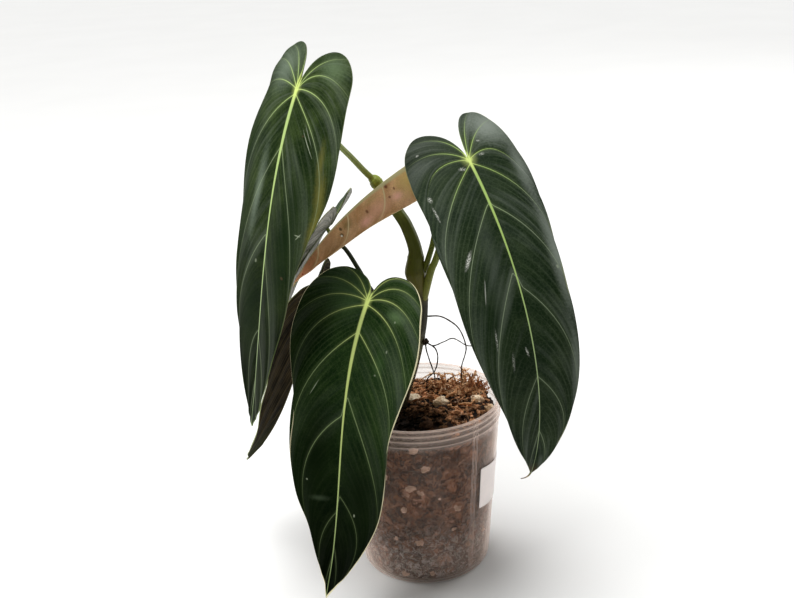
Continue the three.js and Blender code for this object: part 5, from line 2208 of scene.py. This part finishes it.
PINK_FACE = VelvetFinish(
    "new leaf face", deep=(0.43, 0.22, 0.09), light=(0.68, 0.4, 0.2), vein=(0.85, 0.72, 0.42),
    vein_strength=0.75, vein_half_mm=0.8, rim=(0.8, 0.7, 0.38), rim_mm=0.9, streaks=4.0,
    painted_sheen=(0.72, 0.43, 0.25), painted_sheen_strength=0.5, midrib=(0.5, 0.46, 0.24), rib_width=1.2,
    star=(0.4, 0.4, 0.2), sheen=0.08, sheen_tint=(0.9, 0.75, 0.62),
    marks=(
        tint_and_painted_light((0, 128), (24, 40), (1.0, 0.35, 0.19), 0.88),
        tint_and_painted_light((9, 12), (16, 20), (0.6, 0.47, 0.15), 0.8),
        tint_and_painted_light((12, 44), (9, 18), (0.85, 0.46, 0.32), 0.6),
        # These two rosy patches are painted sheen; the other patches and spots are the new leaf's own
        # mottling.
        tint_and_painted_light((13, 27), (5, 7), (1.0, 0.55, 0.46), 0.6),
        tint_and_painted_light((13.5, 56), (5, 9), (1.0, 0.52, 0.42), 0.65),
        tint_and_painted_light((4, 44), (3, 9), (0.42, 0.32, 0.12), 0.5),
        tint_and_painted_light((14, 80), (4, 8), (0.75, 0.42, 0.22), 0.5),
        tint_and_painted_light((3, 88), (9, 12), (0.38, 0.2, 0.1), 0.6),
        Mark((6, 68), (4.5, 7), (0.16, 0.13, 0.04), 0, 0.6, 1.0),
        Mark((3, 30), (3.0, 2.4), TAN_STAIN, 0, 0.6, 1.0),
        Mark((3, 30), (1.9, 1.4), RED_SPOT),
        Mark((7.5, 26), (1.4, 1.1), RED_SPOT, 0, 0.7),
        Mark((10.5, 32), (1.3, 1.2), RED_SPOT, 0, 0.7),
        Mark((8.5, 51), (2.6, 2.0), TAN_STAIN, 0, 0.6, 1.0),
        Mark((8.5, 51), (1.7, 1.2), RED_SPOT, 0, 0.7),
        Mark((4.5, 74), (2.0, 1.4), BROWN),
        Mark((8.2, 76), (2.0, 1.6), BROWN, 0, 0.7),
        Mark((8.6, 76.6), (1.1, 0.9), (0.95, 0.9, 0.78), 0, 1.0),
        Mark((3, 118), (1.0, 0.9), (0.4, 0.03, 0.02)),
    ),
)
PINK_BACK = UndersideFinish(
    "new leaf underside", dark=(0.3, 0.15, 0.09), light=(0.45, 0.26, 0.16), vein=(0.5, 0.36, 0.2),
    rib=(0.45, 0.4, 0.2), tip=(0.35, 0.13, 0.06),
)

LEFT_HALVES = (
    LeafHalf(
        side=-1, width=50.8, lobe=33.7, fold=(4.9, 9.3), arch=(18.1, 17.9), lobe_arch=-9.2,
        outline=(0.94, 1.02, 0.97, 0.81, 0.73, 0.59, 0.41, 0.23, 0.09, 0),
        veins=Veins(
            laterals=(0.16, 0.41, 0.7), ends=(3.2, 3.9, 4.8, 7.7, 9.4, 10.4, 13),
            angles=(24, 46, 71, 119, 144, 135, 110),
        ),
    ),
    LeafHalf(
        side=1, width=52.3, lobe=29.6, fold=(4, 8.7), arch=(41.3, 17.9), lobe_arch=16.5,
        outline=(0.94, 1.01, 1.01, 0.83, 0.65, 0.54, 0.42, 0.28, 0.16, 0),
        veins=Veins(
            laterals=(0.16, 0.48, 0.72), ends=(3.2, 4.7, 6.3, 8.2, 9.5, 11.6, 12.8),
            angles=(31, 44, 84, 119, 146, 156, 150),
        ),
    ),
)
RIGHT_HALVES = (
    LeafHalf(
        side=-1, width=46.7, lobe=39.6, fold=(7, 9.9), arch=(30.8, 19.9), lobe_arch=-1.1,
        outline=(0.91, 0.89, 0.87, 0.86, 0.8, 0.64, 0.44, 0.28, 0.12, 0),
        veins=Veins(
            laterals=(0.15, 0.36, 0.67), ends=(3.2, 4.2, 6.7, 7.9, 9.8, 11.3, 12.9),
            angles=(10, 39, 70, 132, 141, 148, 138),
        ),
    ),
    LeafHalf(
        side=1, width=37.8, lobe=42.2, fold=(6.2, 12.7), arch=(48.4, 20.5), lobe_arch=-15.7,
        outline=(0.97, 0.96, 0.85, 0.77, 0.76, 0.68, 0.48, 0.28, 0.15, 0),
        veins=Veins(
            laterals=(0.16, 0.41, 0.67), ends=(2.85, 3.75, 6.3, 7.4, 8.5, 10.7, 12.2),
            angles=(13, 28, 60, 132, 139, 140, 134),
        ),
    ),
)
FRONT_HALVES = (
    LeafHalf(
        side=-1, width=55, lobe=18.2, fold=(6.8, 8.6), arch=(-8.2, 13.3), lobe_arch=-1.2,
        outline=(0.99, 1.03, 0.92, 0.79, 0.78, 0.64, 0.38, 0.2, 0.06, 0),
        veins=Veins(
            laterals=(0.1, 0.37, 0.7), ends=(3.1, 4.5, 5.8, 7.3, 9.4, 10.7, 12.2),
            angles=(40, 62, 82, 105, 130, 128, 135),
        ),
    ),
    LeafHalf(
        side=1, width=55.2, lobe=19.3, fold=(12.3, 5.1), arch=(28.3, 15.5), lobe_arch=6.8,
        outline=(0.97, 1.03, 0.9, 0.77, 0.74, 0.65, 0.48, 0.28, 0.12, 0),
        veins=Veins(
            laterals=(0.1, 0.3, 0.64), ends=(3.4, 4.5, 5.5, 6.7, 8.1, 10.1, 12.4),
            angles=(20, 48, 73, 95, 114, 137, 118),
        ),
    ),
)
GREY_HALVES = (
    LeafHalf(side=-1, width=50.1, lobe=22.7, fold=(24.8, 8), arch=(38.8, 15), lobe_outline=POINTED_LOBE),
    LeafHalf(side=1, width=50.1, lobe=22.7, fold=(16.3, 8), arch=(35.1, 15), lobe_outline=POINTED_LOBE),
)
DARK_HALVES = (
    LeafHalf(side=-1, width=57.5, lobe=18.2, fold=(25.9, 5.7), arch=(39.5, -35.8)),
    LeafHalf(side=1, width=57.5, lobe=18.2, fold=(19.1, 5.5), arch=(16.1, 14.7)),
)
NEW_LEAF_HALVES = (
    LeafHalf(
        side=-1, width=20.3, lobe=20, fold=(-68, -62), arch=(14, 8),
        outline=NEW_LEAF_SIDE, veins=NEW_LEAF_VEINS,
    ),
    LeafHalf(
        side=1, width=20.3, lobe=20, fold=(-68.5, -61.1), arch=(15.1, 7),
        outline=NEW_LEAF_SIDE, veins=NEW_LEAF_VEINS,
    ),
)

LEAVES = (
    Leaf(
        name="left", notch=(-69.1, -20, 362.7), length=231, heading=-54.7, droop=63.3,
        sag=(43.8, -29.8), sway=(1.7, -2.2), roll=-4.2, twist=2.1, lobe_lift=145.6,
        halves=LEFT_HALVES, slot=Slot.VELVET, upper=LEFT_VELVET, lower=PLAIN_BACK,
    ),
    Leaf(
        name="right", notch=(39.8, -30, 312), length=226.3, heading=22.9, droop=36.9,
        sag=(40, 37.2), sway=(-0.7, 8.5), roll=-17.9, twist=-9.1, lobe_lift=136.3,
        halves=RIGHT_HALVES, slot=Slot.VELVET, upper=RIGHT_VELVET, lower=PLAIN_BACK,
        drip_tip=((0, 0, 0), (-1.6, 0, -2.2), (-3.8, 0.4, -3.8), (-6.6, 0.8, -4.6)),
    ),
    Leaf(
        name="front", notch=(-31, -60, 228.7), length=208, heading=-46.3, droop=57,
        sag=(78.7, -67.5), sway=(2.8, -1.2), roll=-5, twist=12.5, lobe_lift=74.6,
        halves=FRONT_HALVES, slot=Slot.VELVET, upper=FRONT_VELVET, lower=PLAIN_BACK,
    ),
    Leaf(
        name="grey", notch=(-58.9, 45, 252.3), length=168.8, heading=-117.2, droop=45.4,
        sag=(34.4, 0), sway=(-1.2, 0), roll=7.2, twist=-2.5, lobe_lift=-56.9,
        halves=GREY_HALVES, slot=Slot.GREY_BACK, upper=HIDDEN_VELVET, lower=GREY_BACK,
    ),
    Leaf(
        name="dark", notch=(-72.3, 30, 199.3), length=170.9, heading=-113.7, droop=67.9,
        sag=(19.6, -48), sway=(3.2, -14.8), roll=8.5, twist=0.6, lobe_lift=44.5,
        halves=DARK_HALVES, slot=Slot.DARK_BACK, upper=HIDDEN_VELVET, lower=DARK_BACK,
    ),
    Leaf(
        name="pink", notch=(8.1, 2, 308.2), length=131.5, heading=-87.5, droop=29.9,
        sag=(18.7, 12.4), sway=(-6.7, -4.6), roll=-3.3, twist=-2.9, lobe_lift=60,
        halves=NEW_LEAF_HALVES, slot=Slot.NEW_PINK, upper=PINK_FACE, lower=PINK_BACK,
    ),
)

DRY_TIP = SkinFinish(
    "dry tip skin", ((0.0, (0.1, 0.12, 0.03)), (0.5, (0.2, 0.13, 0.05)), (1.0, (0.08, 0.045, 0.02))),
)
PALE_STALK = SkinFinish(
    "pale stalk skin", ((0.0, (0.2, 0.24, 0.03)), (0.3, (0.24, 0.29, 0.08)), (1.0, (0.3, 0.35, 0.16))),
    scars=0.12,
)
YOUNG_STALK = SkinFinish(
    "young stalk skin", ((0.0, (0.17, 0.18, 0.02)), (0.4, (0.13, 0.16, 0.02)), (1.0, (0.3, 0.3, 0.12))),
    scars=0.1,
)
SHEATH_STALK = SkinFinish(
    "sheathed stalk skin", ((0.0, (0.15, 0.14, 0.025)), (0.2, (0.17, 0.18, 0.025)), (1.0, (0.1, 0.14, 0.02))),
    scars=0.25,
)
DARK_STALK = SkinFinish(
    "dark stalk skin", ((0.0, (0.03, 0.035, 0.012)), (0.85, (0.012, 0.022, 0.008)), (1.0, (0.16, 0.2, 0.04))),
    scars=0.25,
)

STALKS = (
    Stalk(
        leaf=LEAVES[0], radii=(2.3, 1.7), slot=Slot.STALK_LIGHT, finish=PALE_STALK,
        path=((-24.4, 25, 289.4), (-30.6, 23.5, 296.5), (-38.5, 18, 307.5), (-48, 9, 321), (-59.5, -3, 341)),
    ),
    Stalk(
        leaf=LEAVES[1], radii=(3.6, 2.8, 2.3, 1.9), slot=Slot.STEM, finish=SHEATH_STALK, sheath=0.5,
        path=(
            (4.6, 4.5, 200), (7.6, 2.5, 210), (10.4, 0.5, 220), (13.4, -1, 229.5), (17, -3, 238),
            (29, -13, 275),
        ),
    ),
    Stalk(
        leaf=LEAVES[2], radii=(2.4, 1.8), slot=Slot.STALK_DARK, finish=DARK_STALK,
        path=((-1, 6, 158), (-9, -6, 176), (-19, -22, 194), (-27, -40, 210)),
    ),
    Stalk(
        leaf=LEAVES[3], radii=(2, 1.4), slot=Slot.STALK_DARK, finish=DARK_STALK,
        path=((0, 8, 165), (-14, 18, 185), (-31, 27, 206), (-39.7, 33, 221), (-48, 38, 234.5)),
    ),
    Stalk(
        leaf=LEAVES[4], radii=(2.1, 1.5), slot=Slot.STALK_DARK, finish=DARK_STALK,
        path=((-4.5, 8, 148), (-22, 15, 160), (-43, 22, 174), (-60, 26, 185)),
    ),
    Stalk(
        leaf=LEAVES[5], radii=(2.3, 1.6), slot=Slot.STALK_LIGHT, finish=YOUNG_STALK,
        path=(
            (4.6, 5.5, 219), (8.6, 4, 228), (11.3, 3, 235.5), (15.3, 2.4, 248.5), (18.5, 2, 268),
            (15.5, 2, 288),
        ),
    ),
)


# Studio


@dataclass(frozen=True)
class Lamp:
    """Soft square light aimed at a point. Places are metres."""

    name: str
    at: tuple[float, float, float]
    aim: tuple[float, float, float]
    size: float
    power: float
    colour: Colour = (1, 1, 1)

    def build(self) -> None:
        """Adds the light."""
        data = bpy.data.lights.new(self.name, "AREA")
        data.size = self.size
        data.energy = self.power
        data.color = self.colour
        lamp = linked(self.name, data)
        lamp.location = self.at
        lamp.rotation_euler = (Vector(self.aim) - Vector(self.at)).to_track_quat("-Z", "Y").to_euler()


@dataclass(frozen=True)
class Studio:
    """Pale floor, soft light and the camera."""

    camera_at: tuple[float, float, float] = (-12.3, -738.3, 476.9)
    pitch: float = 20.05
    roll: float = 3.19
    focal_length: float = 50.0
    sensor: float = 36.0
    view_limit: float = 50.0
    floor_size: float = 30.0
    lamps: tuple[Lamp, ...] = (
        Lamp("window", at=(-1.4, -0.9, 1.7), aim=(0, 0, 0.25), size=0.9, power=28),
        Lamp("rim", at=(1.6, 1.1, 1.2), aim=(0, 0, 0.25), size=1.2, power=16),
    )
    world: Colour = (1, 1, 1)
    world_strength: float = 0.25
    sky_strength: float = 3.4
    sky_softness: float = 50.0
    sky_turn: tuple[float, float, float] = (-12, -18, 0)

    def build(self) -> None:
        """Adds everything round the plant."""
        self.build_floor()
        self.build_camera()
        self.build_sky()
        for lamp in self.lamps:
            lamp.build()
        world = bpy.data.worlds.new("studio")
        world.use_nodes = True
        background = world.node_tree.nodes["Background"]
        background.inputs[0].default_value = (*self.world, 1)
        background.inputs[1].default_value = self.world_strength
        bpy.context.scene.world = world
        bpy.context.scene.view_settings.view_transform = "Standard"

    def build_floor(self) -> None:
        """Pale floor under the pot."""
        ground = bmesh.new()
        bmesh.ops.create_grid(ground, x_segments=1, y_segments=1, size=self.floor_size / 2)
        floor = linked("floor", finished(ground, "floor"))
        shader = Shader("floor paint")
        tone = shader.noise(shader.place(), 4.0, 2.0)
        colour = shader.mix(tone, (0.7, 0.7, 0.69), (0.74, 0.74, 0.73))
        paint = shader.done(shader.principled({"Base Color": colour, "Roughness": 0.8}))
        floor.data.materials.append(paint)

    def build_sky(self) -> None:
        """Broad even light from above."""
        data = bpy.data.lights.new("sky", "SUN")
        data.energy = self.sky_strength
        data.angle = math.radians(self.sky_softness)
        linked("sky", data).rotation_euler = [math.radians(turn) for turn in self.sky_turn]

    def build_camera(self) -> None:
        """Camera at the photograph's place and viewing angle."""
        data = bpy.data.cameras.new("camera")
        data.lens = self.focal_length
        data.sensor_width = self.sensor
        data.clip_end = self.view_limit
        pitch, roll = math.radians(self.pitch), math.radians(self.roll)
        right = Vector((1, 0, 0))
        forward = Vector((0, math.cos(pitch), -math.sin(pitch)))
        down = Vector((0, -math.sin(pitch), -math.cos(pitch)))
        tilted_right = right * math.cos(roll) + down * math.sin(roll)
        tilted_down = down * math.cos(roll) - right * math.sin(roll)
        axes = Matrix((tilted_right, -tilted_down, -forward)).transposed()
        camera = linked("camera", data)
        camera.matrix_world = Matrix.Translation(Vector(self.camera_at) * MM) @ axes.to_4x4()
        bpy.context.scene.camera = camera


def main() -> None:
    """Builds every piece in order and reports it, then the studio."""
    logging.basicConfig(level=logging.INFO, format="%(name)s: %(message)s")
    pot, pumice = Pot(), Pumice()
    filling = (BarkMix(pot, lumps=pumice.lumps), pumice, MossTuft())
    parts = (pot, Label(pot), *filling, Stem(), AerialRoots(), *STALKS, *LEAVES)
    for number, part in enumerate(parts, 1):
        part.build()
        log.info("%s built, %d of %d", type(part).__name__, number, len(parts))
    Studio().build()


if __name__ == "__main__":
    main()
